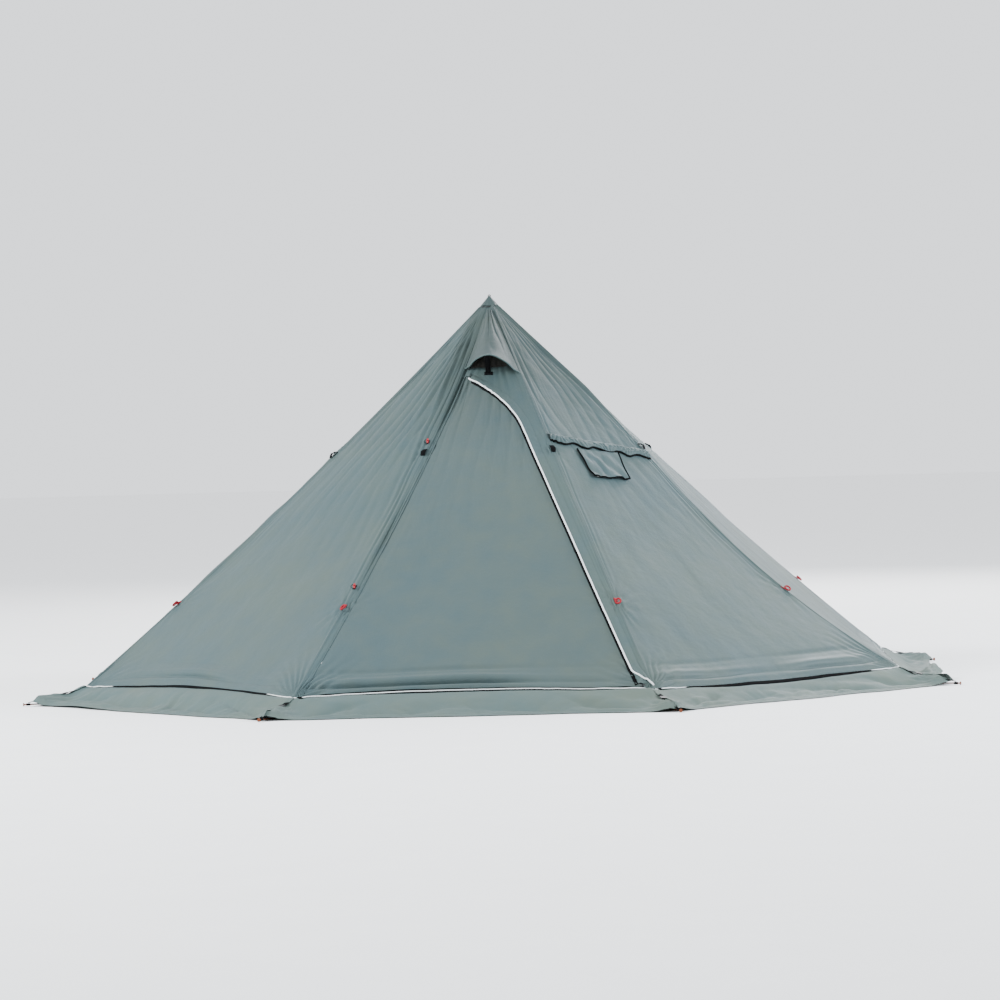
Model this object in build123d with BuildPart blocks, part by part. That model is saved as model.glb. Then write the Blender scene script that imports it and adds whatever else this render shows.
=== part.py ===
"""Eight-sided teepee tent with one centre pole, a zipped door, a peak vent and a stove jack.

Millimetres, +Z up. The origin is on the ground under the peak. The door panel faces -Y.
On each panel, u runs along the hem and v runs up the slope from the hem.
"""

import os
from math import cos, hypot, radians, sin, sqrt, tan

from build123d import *

os.makedirs("parts", exist_ok=True)

# Driving dimensions
SIDES = 8
HEM_RADIUS = 2500.0  # centre to a hem corner
HEM_HEIGHT = 100.0
PEAK_HEIGHT = 2300.0
CLOTH = 1.0  # thickness of every cloth plate
SEAM_GAP = 1.0  # from a panel's edge to the ridge line
PIECE_GAP = 0.1  # each side of a cut between plates of one node
PANEL_TOP = 3120.0  # v where the panels stop, under the peak cap

# Door and zip, in the front panel's u and v
DOOR_FOOT = 10.0
ZIP_FOOT_U = 902.0
ZIP_BEND = (250.0, 2030.0)  # the straight run ends and the arc starts
ZIP_RADIUS = 800.0
DOOR_TOP_V = 2503.0
EDGE_STRIP = 50.0  # strip of panel between the left ridge and the door's hinge edge
ARC_STEPS = 6
COIL_WIDTH = 3.6
COIL_THICK = 2.0
COIL_GAP = 0.3
TAPE_EDGE = 4.2  # panel and door edges, from the zip line
FLAP_LIFT = 8.0
FLAP_INNER = 12.0  # storm flap, on the door's side of the zip line
FLAP_OUTER = 30.0
FLAP_FOOT = 75.0
FLAP_TOP = 2440.0
FLAP_CORD = (5.0, 3.0)  # width and thickness of its white edge
TAB_HEIGHTS = (170.0, 1030.0, 1700.0)
TAB_SIZE = (30.0, 45.0)
TAB_THICK = 1.5

# Slider
SLIDER_V = 24.0
SLIDER_WIDTH = 13.0
SLIDER_LENGTH = 22.0
SLIDER_LIFT = 1.6  # its top plate, above the panel's plane
SLIDER_PLATE = 1.6
SLIDER_FLANGE_X = 5.5
POST_Y = (-6.5, 4.5)  # the bridge's two feet, along the zip
POST_SIZE = (3.0, 2.5)
BRIDGE_LIFT = 5.9
BRIDGE_LENGTH = 13.5
PULL_THICK = 1.2
PULL_WIDTH = 9.0
PULL_SLOT = (4.4, 8.2)
PULL_LENGTH = 38.0
PULL_PIVOT_Y = -1.8  # along the zip from the slider's middle
PULL_PIVOT_LIFT = 4.6

# Vent and hood at the top of the front panel
HOOD_FOOT_V = 2530.0
HOOD_HEAD_V = 3060.0
HOOD_HALF_WIDTH = 182.0
HOOD_RISE = 150.0
HOOD_HEAD = (22.0, 14.0)  # half width and rise of the hood where it ends
VENT_FOOT_V = 2570.0
VENT_HEAD_V = 2860.0
VENT_HALF_WIDTHS = (120.0, 45.0)
PROP_V = 2515.0
PROP_PIVOT_LIFT = 5.0
PROP_WIDTH = 32.0
PROP_LENGTH = 138.0
PROP_THICK = 4.0
PROP_PIN = 3.0  # radius of the rolled foot that it folds on

# Stove jack, in the next panel's u and v
JACK_PANEL = 1
JACK_CENTRE = (-60.0, 1715.0)
JACK_PAD = (280.0, 190.0)
JACK_THICK = 2.0
FLUE_RADIUS = 42.0
COVER_SIZE = (340.0, 226.0)
COVER_CENTRE = (-60.0, 1713.0)
COVER_LIFT = 3.0
COVER_TILT = 7.0  # degrees that the cover's top edge runs down towards the right ridge
BINDING = 10.0
BINDING_THICK = 1.0
AWNING_MIDDLE_V = 1876.0  # where its centre line crosses the panel's middle
AWNING_TILT = 12.0
AWNING_WIDTH = 62.0
AWNING_DEPTH = 22.0
AWNING_LIFT = 1.5
AWNING_ENDS = (27.0, 40.0)  # left along its centre line between each end and the ridge
AWNING_TRIM = (5.0, 4.0)  # width and thickness of its bound lower edge

# Snow skirt and corner fittings
SKIRT_TOP = (2318.0, 92.0)  # distance out from the centre, and height
SKIRT_BEND = 2455.0
SKIRT_EDGE = 2585.0
SKIRT_THICK = 2.0
SKIRT_GAP = 22.0  # from the corner line to a segment's end
STRAP_WIDTH = 25.0
STRAP_THICK = 1.6
LOCK_LENGTH = 34.0
LOCK_WIDTH = 32.0
LOCK_THICK = 5.0
PEG_HEIGHT = 10.5
PEG_RADIUS = 4.0
PEG_LENGTH = 230.0
PEG_HEAD_R = 9.5
PEG_HEAD_OUT = 2868.0
LOOP_OUT = 2840.0

# Guy points, as fractions of the ridge from the peak
UPPER_GUY = 0.41
LOWER_GUY = 0.80
UPPER_TOGGLE = 0.36
LOWER_TOGGLE = 0.73
GUY_TAB = (22.0, 46.0, 3.0)  # width, length and thickness
GUY_LOOP = (18.0, 44.0, 5.0)
GUY_LIFT = 2.5
TOGGLE_U = 16.0  # from the left ridge
TOGGLE_LIFT = 9.0
TOGGLE_HALF = 17.0
TOGGLE_RADIUS = 4.5
TOGGLE_STEM = (2.0, 7.4)  # radius and length
TOGGLE_BASE = (16.0, 30.0)

# Pole
POLE_UPPER_R = 14.0
POLE_LOWER_R = 16.0
POLE_WALL = 1.5
POLE_SPLIT = (1000.0, 1150.0)  # foot of the upper tube, head of the lower tube
POLE_HEAD = 2235.0
CUP_FOOT = 2205.0
CUP_FLANGE = (2236.0, 2240.0)
CUP_TOP = 2246.0
CUP_WALL = 3.0
CAP_FOOT = (65.0, 2249.0)  # radius and height of the peak cap's lower edge
CAP_WALL = 3.0
FOOT_SEAT = 12.0
FOOT_OUTLINE = ((24.0, 0.0), (24.0, 7.0), (19.5, 14.0), (19.5, 42.0))
CLAMP_Z = (1112.0, 1148.0)
CLAMP_R = 21.0
LEVER_PIVOT_X = 31.0

# Worked out from the driving dimensions
STEP = 360.0 / SIDES
APOTHEM = HEM_RADIUS * cos(radians(STEP / 2))
HALF_SIDE = HEM_RADIUS * sin(radians(STEP / 2))
RISE = PEAK_HEIGHT - HEM_HEIGHT
SLANT = hypot(APOTHEM, RISE)
RIDGE = hypot(HEM_RADIUS, RISE)
PANEL_NAMES = (
    "panel_front",
    "panel_front_right",
    "panel_right",
    "panel_rear_right",
    "panel_rear",
    "panel_rear_left",
    "panel_left",
    "panel_front_left",
)


def outward(azimuth):
    """Level unit vector away from the centre pole."""
    return Vector(cos(radians(azimuth)), sin(radians(azimuth)), 0)


def panel_plane(index, lift=0.0):
    """Outer face of a panel: origin at the middle of its hem, x along the hem, y up the slope."""
    azimuth = -90 + STEP * index
    out = outward(azimuth)
    normal = out * (RISE / SLANT) + Vector(0, 0, APOTHEM / SLANT)
    origin = out * APOTHEM + Vector(0, 0, HEM_HEIGHT) + normal * lift
    return Plane(origin, x_dir=outward(azimuth + 90), z_dir=normal)


def ridge_plane(index, lift=0.0):
    """Plane on the ridge between a panel and the next: origin at the hem corner, y up the ridge."""
    azimuth = -90 + STEP * (index + 0.5)
    out = outward(azimuth)
    normal = out * (RISE / RIDGE) + Vector(0, 0, HEM_RADIUS / RIDGE)
    origin = out * HEM_RADIUS + Vector(0, 0, HEM_HEIGHT) + normal * lift
    return Plane(origin, x_dir=outward(azimuth + 90), z_dir=normal)


def across_slope(index, v):
    """Plane square to a panel's slope at height v: x along the hem, y out of the panel."""
    base = panel_plane(index)
    return Plane(base.from_local_coords((0, v, 0)), x_dir=base.x_dir, z_dir=-base.y_dir)


def ridge_u(v):
    """Half the panel's width at v."""
    return HALF_SIDE * (1 - v / SLANT)


def hinge_u(v):
    """The door's hinge edge, a line beside the left ridge."""
    return EDGE_STRIP - ridge_u(v)


def zip_arc_centre():
    """Centre of the arc that carries the zip from its straight run to the door's top."""
    run = Vector(ZIP_BEND[0] - ZIP_FOOT_U, ZIP_BEND[1], 0).normalized()
    side = Vector(-run.Y, run.X, 0)
    centre = Vector(ZIP_BEND[0], ZIP_BEND[1], 0) + side * ZIP_RADIUS
    return centre.X, centre.Y


def zip_u(v):
    """The zip line: straight up from the hem corner, then an arc to the left."""
    if v <= ZIP_BEND[1]:
        return ZIP_FOOT_U + (ZIP_BEND[0] - ZIP_FOOT_U) * v / ZIP_BEND[1]
    centre_u, centre_v = zip_arc_centre()
    return centre_u + sqrt(ZIP_RADIUS**2 - (v - centre_v) ** 2)


def arc_heights(top):
    """Heights that split the zip's arc into short straight stretches."""
    span = top - ZIP_BEND[1]
    return [ZIP_BEND[1] + span * step / ARC_STEPS for step in range(ARC_STEPS + 1)]


def zip_band(inner, outer, foot, top):
    """Four-sided outlines that follow the zip line, one for each straight stretch."""
    heights = [foot] + arc_heights(top)
    bands = []
    for low, high in zip(heights, heights[1:]):
        low += PIECE_GAP
        high -= PIECE_GAP
        band = [(zip_u(low) - inner, low), (zip_u(low) + outer, low)]
        band += [(zip_u(high) + outer, high), (zip_u(high) - inner, high)]
        bands.append(band)
    return bands


def slab(low, high, left, right):
    """Four-sided outline between two heights, with its sides given as functions of v."""
    low += PIECE_GAP
    high -= PIECE_GAP
    return [(left(low), low), (right(low), low), (right(high), high), (left(high), high)]


def right_edge(v):
    return ridge_u(v) - SEAM_GAP


def left_edge(v):
    return SEAM_GAP - ridge_u(v)


def plates(plane, outlines, thickness):
    """Add flat plates to the part being built, from the plane inwards."""
    for outline in outlines:
        with BuildSketch(plane) as face:
            Polygon(*outline, align=None)
        extrude(face.sketch, amount=-thickness)


def save(piece, name):
    piece.part.label = name
    export_step(piece.part, f"parts/{name}.step")


# Canopy panels other than the door's and the stove jack's: one plate each
for number, panel_name in enumerate(PANEL_NAMES):
    if number in (0, JACK_PANEL):
        continue
    with BuildPart() as panel:
        plates(panel_plane(number), [slab(0, PANEL_TOP, left_edge, right_edge)], CLOTH)
    save(panel, panel_name)

# Stove jack panel: plates round the window that holds the heat-proof pad
PAD_LEFT = JACK_CENTRE[0] - JACK_PAD[0] / 2
PAD_RIGHT = JACK_CENTRE[0] + JACK_PAD[0] / 2
PAD_LOW = JACK_CENTRE[1] - JACK_PAD[1] / 2
PAD_HIGH = JACK_CENTRE[1] + JACK_PAD[1] / 2
with BuildPart() as panel_front_right:
    window = [slab(0, PAD_LOW, left_edge, right_edge)]
    window.append(slab(PAD_LOW, PAD_HIGH, left_edge, lambda v: PAD_LEFT - PIECE_GAP))
    window.append(slab(PAD_LOW, PAD_HIGH, lambda v: PAD_RIGHT + PIECE_GAP, right_edge))
    window.append(slab(PAD_HIGH, PANEL_TOP, left_edge, right_edge))
    plates(panel_plane(JACK_PANEL), window, CLOTH)
save(panel_front_right, "panel_front_right")

# Front panel: strips each side of the door, and the crown above it with the vent window
with BuildPart() as front_strip_left:
    strip = slab(0, DOOR_TOP_V, left_edge, lambda v: hinge_u(v) - 2 * SEAM_GAP)
    plates(panel_plane(0), [strip], CLOTH)
save(front_strip_left, "front_strip_left")

with BuildPart() as front_strip_right:
    strip = slab(0, ZIP_BEND[1], lambda v: zip_u(v) + TAPE_EDGE, right_edge)
    plates(panel_plane(0), [strip], CLOTH)
save(front_strip_right, "front_strip_right")


def vent_half(v):
    share = (v - VENT_FOOT_V) / (VENT_HEAD_V - VENT_FOOT_V)
    return VENT_HALF_WIDTHS[0] + (VENT_HALF_WIDTHS[1] - VENT_HALF_WIDTHS[0]) * share


with BuildPart() as front_crown:
    arc = arc_heights(DOOR_TOP_V)
    crown = []
    for low, high in zip(arc, arc[1:]):
        crown.append(slab(low, high, lambda v: zip_u(v) + 2.5 * TAPE_EDGE, right_edge))
    crown.append(slab(DOOR_TOP_V, VENT_FOOT_V, left_edge, right_edge))
    crown.append(slab(VENT_FOOT_V, VENT_HEAD_V, left_edge, lambda v: -vent_half(v)))
    crown.append(slab(VENT_FOOT_V, VENT_HEAD_V, vent_half, right_edge))
    crown.append(slab(VENT_HEAD_V, PANEL_TOP, left_edge, right_edge))
    plates(panel_plane(0), crown, CLOTH)
save(front_crown, "front_crown")

with BuildPart() as vent_mesh:
    net = slab(VENT_FOOT_V, VENT_HEAD_V, lambda v: 1 - vent_half(v), lambda v: vent_half(v) - 1)
    plates(panel_plane(0), [net], CLOTH)
save(vent_mesh, "vent_mesh")

# Door, hinged on its left edge, with its half of the zip and the storm flap over the zip
with BuildPart() as door_panel:
    outline = [(hinge_u(DOOR_FOOT) + SEAM_GAP, DOOR_FOOT)]
    for height in [DOOR_FOOT] + arc_heights(DOOR_TOP_V - 8):
        outline.append((zip_u(height) - TAPE_EDGE - 1, height))
    outline.append((hinge_u(DOOR_TOP_V - 8) + SEAM_GAP, DOOR_TOP_V - 8))
    plates(panel_plane(0), [outline], CLOTH)
save(door_panel, "door_panel")

coil_plane = panel_plane(0, COIL_THICK / 2)
with BuildPart() as zip_coil_door:
    coil = zip_band(COIL_GAP + COIL_WIDTH, -COIL_GAP, DOOR_FOOT, DOOR_TOP_V - 12)
    plates(coil_plane, coil, COIL_THICK)
save(zip_coil_door, "zip_coil_door")

with BuildPart() as zip_coil_canopy:
    coil = zip_band(-COIL_GAP, COIL_GAP + COIL_WIDTH, DOOR_FOOT, DOOR_TOP_V - 12)
    plates(coil_plane, coil, COIL_THICK)
save(zip_coil_canopy, "zip_coil_canopy")

with BuildPart() as storm_flap:
    cover = zip_band(FLAP_INNER, FLAP_OUTER, FLAP_FOOT, FLAP_TOP)
    plates(panel_plane(0, FLAP_LIFT + CLOTH), cover, CLOTH)
save(storm_flap, "storm_flap")

with BuildPart() as flap_piping:
    cord = zip_band(FLAP_INNER + FLAP_CORD[0], -FLAP_INNER - 0.3, FLAP_FOOT, FLAP_TOP)
    plates(panel_plane(0, FLAP_LIFT + FLAP_CORD[1]), cord, FLAP_CORD[1])
save(flap_piping, "flap_piping")

with BuildPart() as flap_tabs:
    for height in TAB_HEIGHTS:
        with BuildSketch(panel_plane(0, FLAP_LIFT - 0.3)):
            with Locations((zip_u(height) - FLAP_INNER - 8, height)):
                Rectangle(*TAB_SIZE)
        extrude(amount=-TAB_THICK)
save(flap_tabs, "flap_tabs")

# Zip slider: a shell that rides over both closed coils, with a pull on its bridge
front = panel_plane(0)
slider_origin = front.from_local_coords((zip_u(SLIDER_V), SLIDER_V, 0))
zip_run = front.from_local_coords((ZIP_BEND[0], ZIP_BEND[1], 0)) - slider_origin
slider_plane = Plane(slider_origin, x_dir=zip_run.cross(front.z_dir), z_dir=front.z_dir)
with BuildPart() as zip_slider:
    with BuildSketch(slider_plane.offset(SLIDER_LIFT)):
        RectangleRounded(SLIDER_WIDTH, SLIDER_LENGTH, 3)
    extrude(amount=SLIDER_PLATE)
    with BuildSketch(slider_plane.offset(SLIDER_LIFT - 1)):
        with Locations((-SLIDER_FLANGE_X, 0), (SLIDER_FLANGE_X, 0)):
            Rectangle(1.6, SLIDER_LENGTH - 8)
    extrude(amount=1.2)
    with BuildSketch(slider_plane.offset(SLIDER_LIFT + SLIDER_PLATE - 0.1)):
        with Locations((0, POST_Y[0]), (0, POST_Y[1])):
            Rectangle(*POST_SIZE)
    extrude(amount=BRIDGE_LIFT - SLIDER_LIFT - SLIDER_PLATE + 0.2)
    with BuildSketch(slider_plane.offset(BRIDGE_LIFT)):
        with Locations((0, (POST_Y[0] + POST_Y[1]) / 2)):
            Rectangle(POST_SIZE[0], BRIDGE_LENGTH)
    extrude(amount=1.2)
save(zip_slider, "zip_slider")

with BuildPart() as zip_pull:
    with BuildSketch(slider_plane.offset(PULL_PIVOT_LIFT - PULL_THICK / 2)):
        with Locations((0, PULL_PIVOT_Y - 0.9 + PULL_LENGTH / 2)):
            RectangleRounded(PULL_WIDTH, PULL_LENGTH, 1)
        with Locations((0, PULL_PIVOT_Y + 5)):
            Rectangle(*PULL_SLOT, mode=Mode.SUBTRACT)
        with Locations((0, PULL_LENGTH - 7)):
            Circle(1.6, mode=Mode.SUBTRACT)
    extrude(amount=PULL_THICK)
save(zip_pull, "zip_pull")

# Ridge tapes: a narrow strip along both edges of every panel
with BuildPart() as ridge_tapes:
    for number in range(SIDES):
        strips = [slab(4, PANEL_TOP - 20, lambda v: 1 - ridge_u(v), lambda v: 16 - ridge_u(v))]
        strips.append(slab(4, PANEL_TOP - 20, lambda v: ridge_u(v) - 16, lambda v: ridge_u(v) - 1))
        plates(panel_plane(number, 1.2), strips, 0.9)
save(ridge_tapes, "ridge_tapes")

# Hem: white piping along every panel's edge, and dark webbing behind it
with BuildPart() as hem_piping:
    for number in range(SIDES):
        hem = panel_plane(number)
        start = hem.from_local_coords((-HALF_SIDE + 8, -4, -0.5))
        with BuildSketch(Plane(start, x_dir=hem.y_dir, z_dir=hem.x_dir)):
            Circle(2.6)
        extrude(amount=2 * HALF_SIDE - 16)
save(hem_piping, "hem_piping")

with BuildPart() as hem_webbing:
    for number in range(SIDES):
        with BuildSketch(panel_plane(number, -CLOTH - 2.4)):
            with Locations((0, -8)):
                Rectangle(2 * HALF_SIDE - 30, 22)
        extrude(amount=-1.5)
save(hem_webbing, "hem_webbing")


# Snow skirt: under each side a plate slopes to the ground and another lies flat on it
def skirt_half(out):
    """Half the length of a skirt segment at a distance out from the centre."""
    return out * sin(radians(STEP / 2)) / cos(radians(STEP / 2)) - SKIRT_GAP


with BuildPart() as snow_skirt:
    slope_run = SKIRT_BEND - SKIRT_TOP[0]
    slope_drop = SKIRT_TOP[1] - SKIRT_THICK
    slope_length = hypot(slope_run, slope_drop)
    for number in range(SIDES):
        azimuth = -90 + STEP * number
        out = outward(azimuth)
        normal = out * (slope_drop / slope_length) + Vector(0, 0, slope_run / slope_length)
        top_middle = out * SKIRT_TOP[0] + Vector(0, 0, SKIRT_TOP[1])
        slope_plane = Plane(top_middle, x_dir=outward(azimuth + 90), z_dir=normal)
        upper = skirt_half(SKIRT_TOP[0])
        lower = skirt_half(SKIRT_BEND)
        drop_end = 4 - slope_length
        slope_outline = [(-upper, 0), (-lower, drop_end), (lower, drop_end), (upper, 0)]
        plates(slope_plane, [slope_outline], SKIRT_THICK)
        ground = Plane(Vector(0, 0, SKIRT_THICK), x_dir=outward(azimuth + 90), z_dir=(0, 0, 1))
        near = skirt_half(SKIRT_BEND)
        far = skirt_half(SKIRT_EDGE)
        flat_outline = [(-near, -SKIRT_BEND), (-far, -SKIRT_EDGE)]
        flat_outline += [(far, -SKIRT_EDGE), (near, -SKIRT_BEND)]
        plates(ground, [flat_outline], SKIRT_THICK)
save(snow_skirt, "snow_skirt")


# Corner fittings: a webbing strap from each hem corner to its peg, through a ladder lock
def corner_plane(index):
    """Plane along a corner strap: origin at the hem corner, x across, y down towards the peg."""
    azimuth = -90 + STEP * (index + 0.5)
    top = outward(azimuth) * (HEM_RADIUS + 12) + Vector(0, 0, HEM_HEIGHT - 12)
    foot = outward(azimuth) * LOOP_OUT + Vector(0, 0, PEG_HEIGHT + PEG_RADIUS + 5)
    along = (foot - top).normalized()
    across = outward(azimuth + 90)
    return Plane(top, x_dir=across, z_dir=across.cross(along)), (foot - top).length


with BuildPart() as corner_straps:
    for number in range(SIDES):
        plane, length = corner_plane(number)
        lock_start = length * 0.3
        with BuildSketch(plane):
            with Locations((0, lock_start / 2)):
                Rectangle(STRAP_WIDTH, lock_start - 1)
            low_length = length - lock_start - LOCK_LENGTH
            with Locations((0, lock_start + LOCK_LENGTH + low_length / 2)):
                Rectangle(STRAP_WIDTH, low_length - 1)
        extrude(amount=-STRAP_THICK)
save(corner_straps, "corner_straps")

with BuildPart() as ladder_locks:
    for number in range(SIDES):
        plane, length = corner_plane(number)
        lock_middle = length * 0.3 + LOCK_LENGTH / 2
        with BuildSketch(plane.offset((LOCK_THICK - STRAP_THICK) / 2)):
            with Locations((0, lock_middle)):
                RectangleRounded(LOCK_WIDTH, LOCK_LENGTH, 3)
            with Locations((0, lock_middle - 8), (0, lock_middle + 8)):
                Rectangle(STRAP_WIDTH + 1, 3.6, mode=Mode.SUBTRACT)
        extrude(amount=-LOCK_THICK)
save(ladder_locks, "ladder_locks")

with BuildPart() as peg_loops:
    for number in range(SIDES):
        azimuth = -90 + STEP * (number + 0.5)
        start = outward(azimuth) * (LOOP_OUT - 12) + Vector(0, 0, PEG_HEIGHT)
        with BuildSketch(Plane(start, x_dir=outward(azimuth + 90), z_dir=outward(azimuth))):
            Circle(PEG_RADIUS + 3)
            Circle(PEG_RADIUS + 1, mode=Mode.SUBTRACT)
        extrude(amount=22)
save(peg_loops, "peg_loops")

for number in range(SIDES):
    azimuth = -90 + STEP * (number + 0.5)
    head_face = outward(azimuth) * PEG_HEAD_OUT + Vector(0, 0, PEG_HEIGHT)
    peg_plane = Plane(head_face, x_dir=outward(azimuth + 90), z_dir=-outward(azimuth))
    with BuildPart() as peg:
        with BuildSketch(peg_plane):
            Circle(PEG_HEAD_R)
        extrude(amount=5)
        with BuildSketch(peg_plane):
            Circle(PEG_RADIUS)
        extrude(amount=PEG_LENGTH - 14)
        with BuildSketch(peg_plane.offset(PEG_LENGTH - 14)):
            Circle(PEG_RADIUS)
        extrude(amount=14, taper=14)
    save(peg, f"peg_{number + 1}")


# Guy points: a folded webbing tab high and a cord loop low on every ridge
def ridge_tab(fraction, width, length, thickness):
    for index in range(SIDES):
        with BuildSketch(ridge_plane(index, GUY_LIFT)) as tab:
            with Locations((0, RIDGE * (1 - fraction))):
                RectangleRounded(width, length, 3)
            with Locations((0, RIDGE * (1 - fraction) - length / 4)):
                Rectangle(width * 0.55, 3, mode=Mode.SUBTRACT)
        extrude(tab.sketch, amount=thickness)


with BuildPart() as upper_guy_tabs:
    ridge_tab(UPPER_GUY, *GUY_TAB)
save(upper_guy_tabs, "upper_guy_tabs")

with BuildPart() as lower_guy_loops:
    ridge_tab(LOWER_GUY, *GUY_LOOP)
save(lower_guy_loops, "lower_guy_loops")

# Door toggles on the strip beside the left ridge, each on its own sewn base
for toggle_name, fraction in (("toggle_upper", UPPER_TOGGLE), ("toggle_lower", LOWER_TOGGLE)):
    toggle_v = SLANT * (1 - fraction)
    spot = panel_plane(0).from_local_coords((TOGGLE_U - ridge_u(toggle_v), toggle_v, TOGGLE_LIFT))
    up_slope = panel_plane(0).y_dir
    with BuildPart() as toggle:
        with BuildSketch(Plane(spot - up_slope * TOGGLE_HALF, z_dir=up_slope)):
            Circle(TOGGLE_RADIUS)
        extrude(amount=2 * TOGGLE_HALF)
        with BuildSketch(Plane(spot, z_dir=panel_plane(0).z_dir)):
            Circle(TOGGLE_STEM[0])
        extrude(amount=-TOGGLE_STEM[1])
    save(toggle, toggle_name)

with BuildPart() as toggle_bases:
    for fraction in (UPPER_TOGGLE, LOWER_TOGGLE):
        toggle_v = SLANT * (1 - fraction)
        with BuildSketch(panel_plane(0, 1.3)):
            with Locations((TOGGLE_U - ridge_u(toggle_v), toggle_v)):
                Rectangle(*TOGGLE_BASE)
                Circle(TOGGLE_STEM[0] + 0.3, mode=Mode.SUBTRACT)
        extrude(amount=2)
save(toggle_bases, "toggle_bases")

# Vent hood: an arched shell over the vent, its stiffened brim, and the prop that holds it up
def arch(plane, half_width, rise):
    """Half-ellipse ring of cloth thickness."""
    with BuildSketch(plane) as ring:
        Ellipse(half_width, rise)
        Ellipse(half_width - 1.6, rise - 1.6, mode=Mode.SUBTRACT)
        with Locations((0, -rise)):
            Rectangle(3 * half_width, 2 * rise + 2 * 1.4, mode=Mode.SUBTRACT)
    return ring.sketch


with BuildPart() as vent_hood:
    brim = arch(across_slope(0, HOOD_FOOT_V), HOOD_HALF_WIDTH, HOOD_RISE)
    head = arch(across_slope(0, HOOD_HEAD_V), HOOD_HEAD[0], HOOD_HEAD[1])
    loft([brim.faces()[0], head.faces()[0]])
save(vent_hood, "vent_hood")

with BuildPart() as hood_brim:
    with BuildSketch(across_slope(0, HOOD_FOOT_V - 0.3)):
        Ellipse(HOOD_HALF_WIDTH + 1, HOOD_RISE + 1)
        Ellipse(HOOD_HALF_WIDTH - 4, HOOD_RISE - 4, mode=Mode.SUBTRACT)
        with Locations((0, -HOOD_RISE)):
            Rectangle(3 * HOOD_HALF_WIDTH, 2 * HOOD_RISE + 4, mode=Mode.SUBTRACT)
    extrude(amount=6)
save(hood_brim, "hood_brim")

prop_pivot = panel_plane(0).from_local_coords((0, PROP_V, PROP_PIVOT_LIFT))
with BuildPart() as hood_prop:
    with BuildSketch(across_slope(0, PROP_V + 2)):
        with Locations((0, PROP_PIVOT_LIFT + PROP_LENGTH / 2)):
            RectangleRounded(PROP_WIDTH, PROP_LENGTH, 4)
    extrude(amount=PROP_THICK)
    with BuildSketch(Plane(prop_pivot - Vector(PROP_WIDTH / 2, 0, 0), z_dir=(1, 0, 0))):
        Circle(PROP_PIN)
    extrude(amount=PROP_WIDTH)
save(hood_prop, "hood_prop")

with BuildPart() as prop_pocket:
    with BuildSketch(panel_plane(0, 0.3)):
        with Locations((0, PROP_V)):
            Rectangle(PROP_WIDTH + 24, 12)
    extrude(amount=1.2)
    with BuildSketch(panel_plane(0, 0.3)):
        with Locations((PROP_WIDTH / 2 + 6, PROP_V), (-PROP_WIDTH / 2 - 6, PROP_V)):
            Rectangle(8, 10)
    extrude(amount=8)
save(prop_pocket, "prop_pocket")

# Stove jack: heat-proof pad with the flue port, its cover flap, and the gathered awning above
jack = panel_plane(JACK_PANEL)
with BuildPart() as jack_pad:
    with BuildSketch(jack.offset(0.5)):
        with Locations(JACK_CENTRE):
            Rectangle(JACK_PAD[0] - 0.4, JACK_PAD[1] - 0.4)
            Circle(FLUE_RADIUS, mode=Mode.SUBTRACT)
    extrude(amount=-JACK_THICK)
save(jack_pad, "jack_pad")


def tilted(plane, centre, degrees, lift):
    """A plane moved to a point on itself, raised, and turned clockwise about its normal."""
    turn = radians(degrees)
    along = plane.x_dir * cos(turn) - plane.y_dir * sin(turn)
    return Plane(plane.from_local_coords((centre[0], centre[1], lift)), x_dir=along, z_dir=plane.z_dir)


with BuildPart() as jack_cover:
    with BuildSketch(tilted(jack, COVER_CENTRE, COVER_TILT, COVER_LIFT)):
        Rectangle(*COVER_SIZE)
    extrude(amount=CLOTH)
save(jack_cover, "jack_cover")

with BuildPart() as cover_binding:
    side = COVER_SIZE[0] / 2 - BINDING / 2
    with BuildSketch(tilted(jack, COVER_CENTRE, COVER_TILT, COVER_LIFT + CLOTH + PIECE_GAP)):
        with Locations((-side, 0), (side, 0)):
            Rectangle(BINDING, COVER_SIZE[1])
        with Locations((0, BINDING / 2 - COVER_SIZE[1] / 2)):
            Rectangle(COVER_SIZE[0], BINDING)
    extrude(amount=BINDING_THICK)
save(cover_binding, "cover_binding")


def awning_reach(side):
    """Length along the awning's centre line from the panel's middle to one end: side is -1 or 1."""
    taper = HALF_SIDE / SLANT
    across = (HALF_SIDE - taper * AWNING_MIDDLE_V) / (1 - side * taper * tan(radians(AWNING_TILT)))
    return across / cos(radians(AWNING_TILT))


awning_left = AWNING_ENDS[0] - awning_reach(-1)
awning_right = awning_reach(1) - AWNING_ENDS[1]
awning_plane = tilted(jack, (0, AWNING_MIDDLE_V), AWNING_TILT, AWNING_LIFT)
with BuildPart() as jack_awning:
    start = awning_plane.from_local_coords((awning_left, 0, 0))
    with BuildSketch(Plane(start, x_dir=awning_plane.y_dir, z_dir=awning_plane.x_dir)):
        Ellipse(AWNING_WIDTH / 2, AWNING_DEPTH)
        with Locations((0, -AWNING_DEPTH)):
            Rectangle(2 * AWNING_WIDTH, 2 * AWNING_DEPTH, mode=Mode.SUBTRACT)
    extrude(amount=awning_right - awning_left)
save(jack_awning, "jack_awning")

with BuildPart() as awning_binding:
    with BuildSketch(awning_plane):
        with Locations(((awning_left + awning_right) / 2, -AWNING_WIDTH / 2 - AWNING_TRIM[0] / 2 - 0.5)):
            Rectangle(awning_right - awning_left, AWNING_TRIM[0])
    extrude(amount=AWNING_TRIM[1])
save(awning_binding, "awning_binding")

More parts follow.
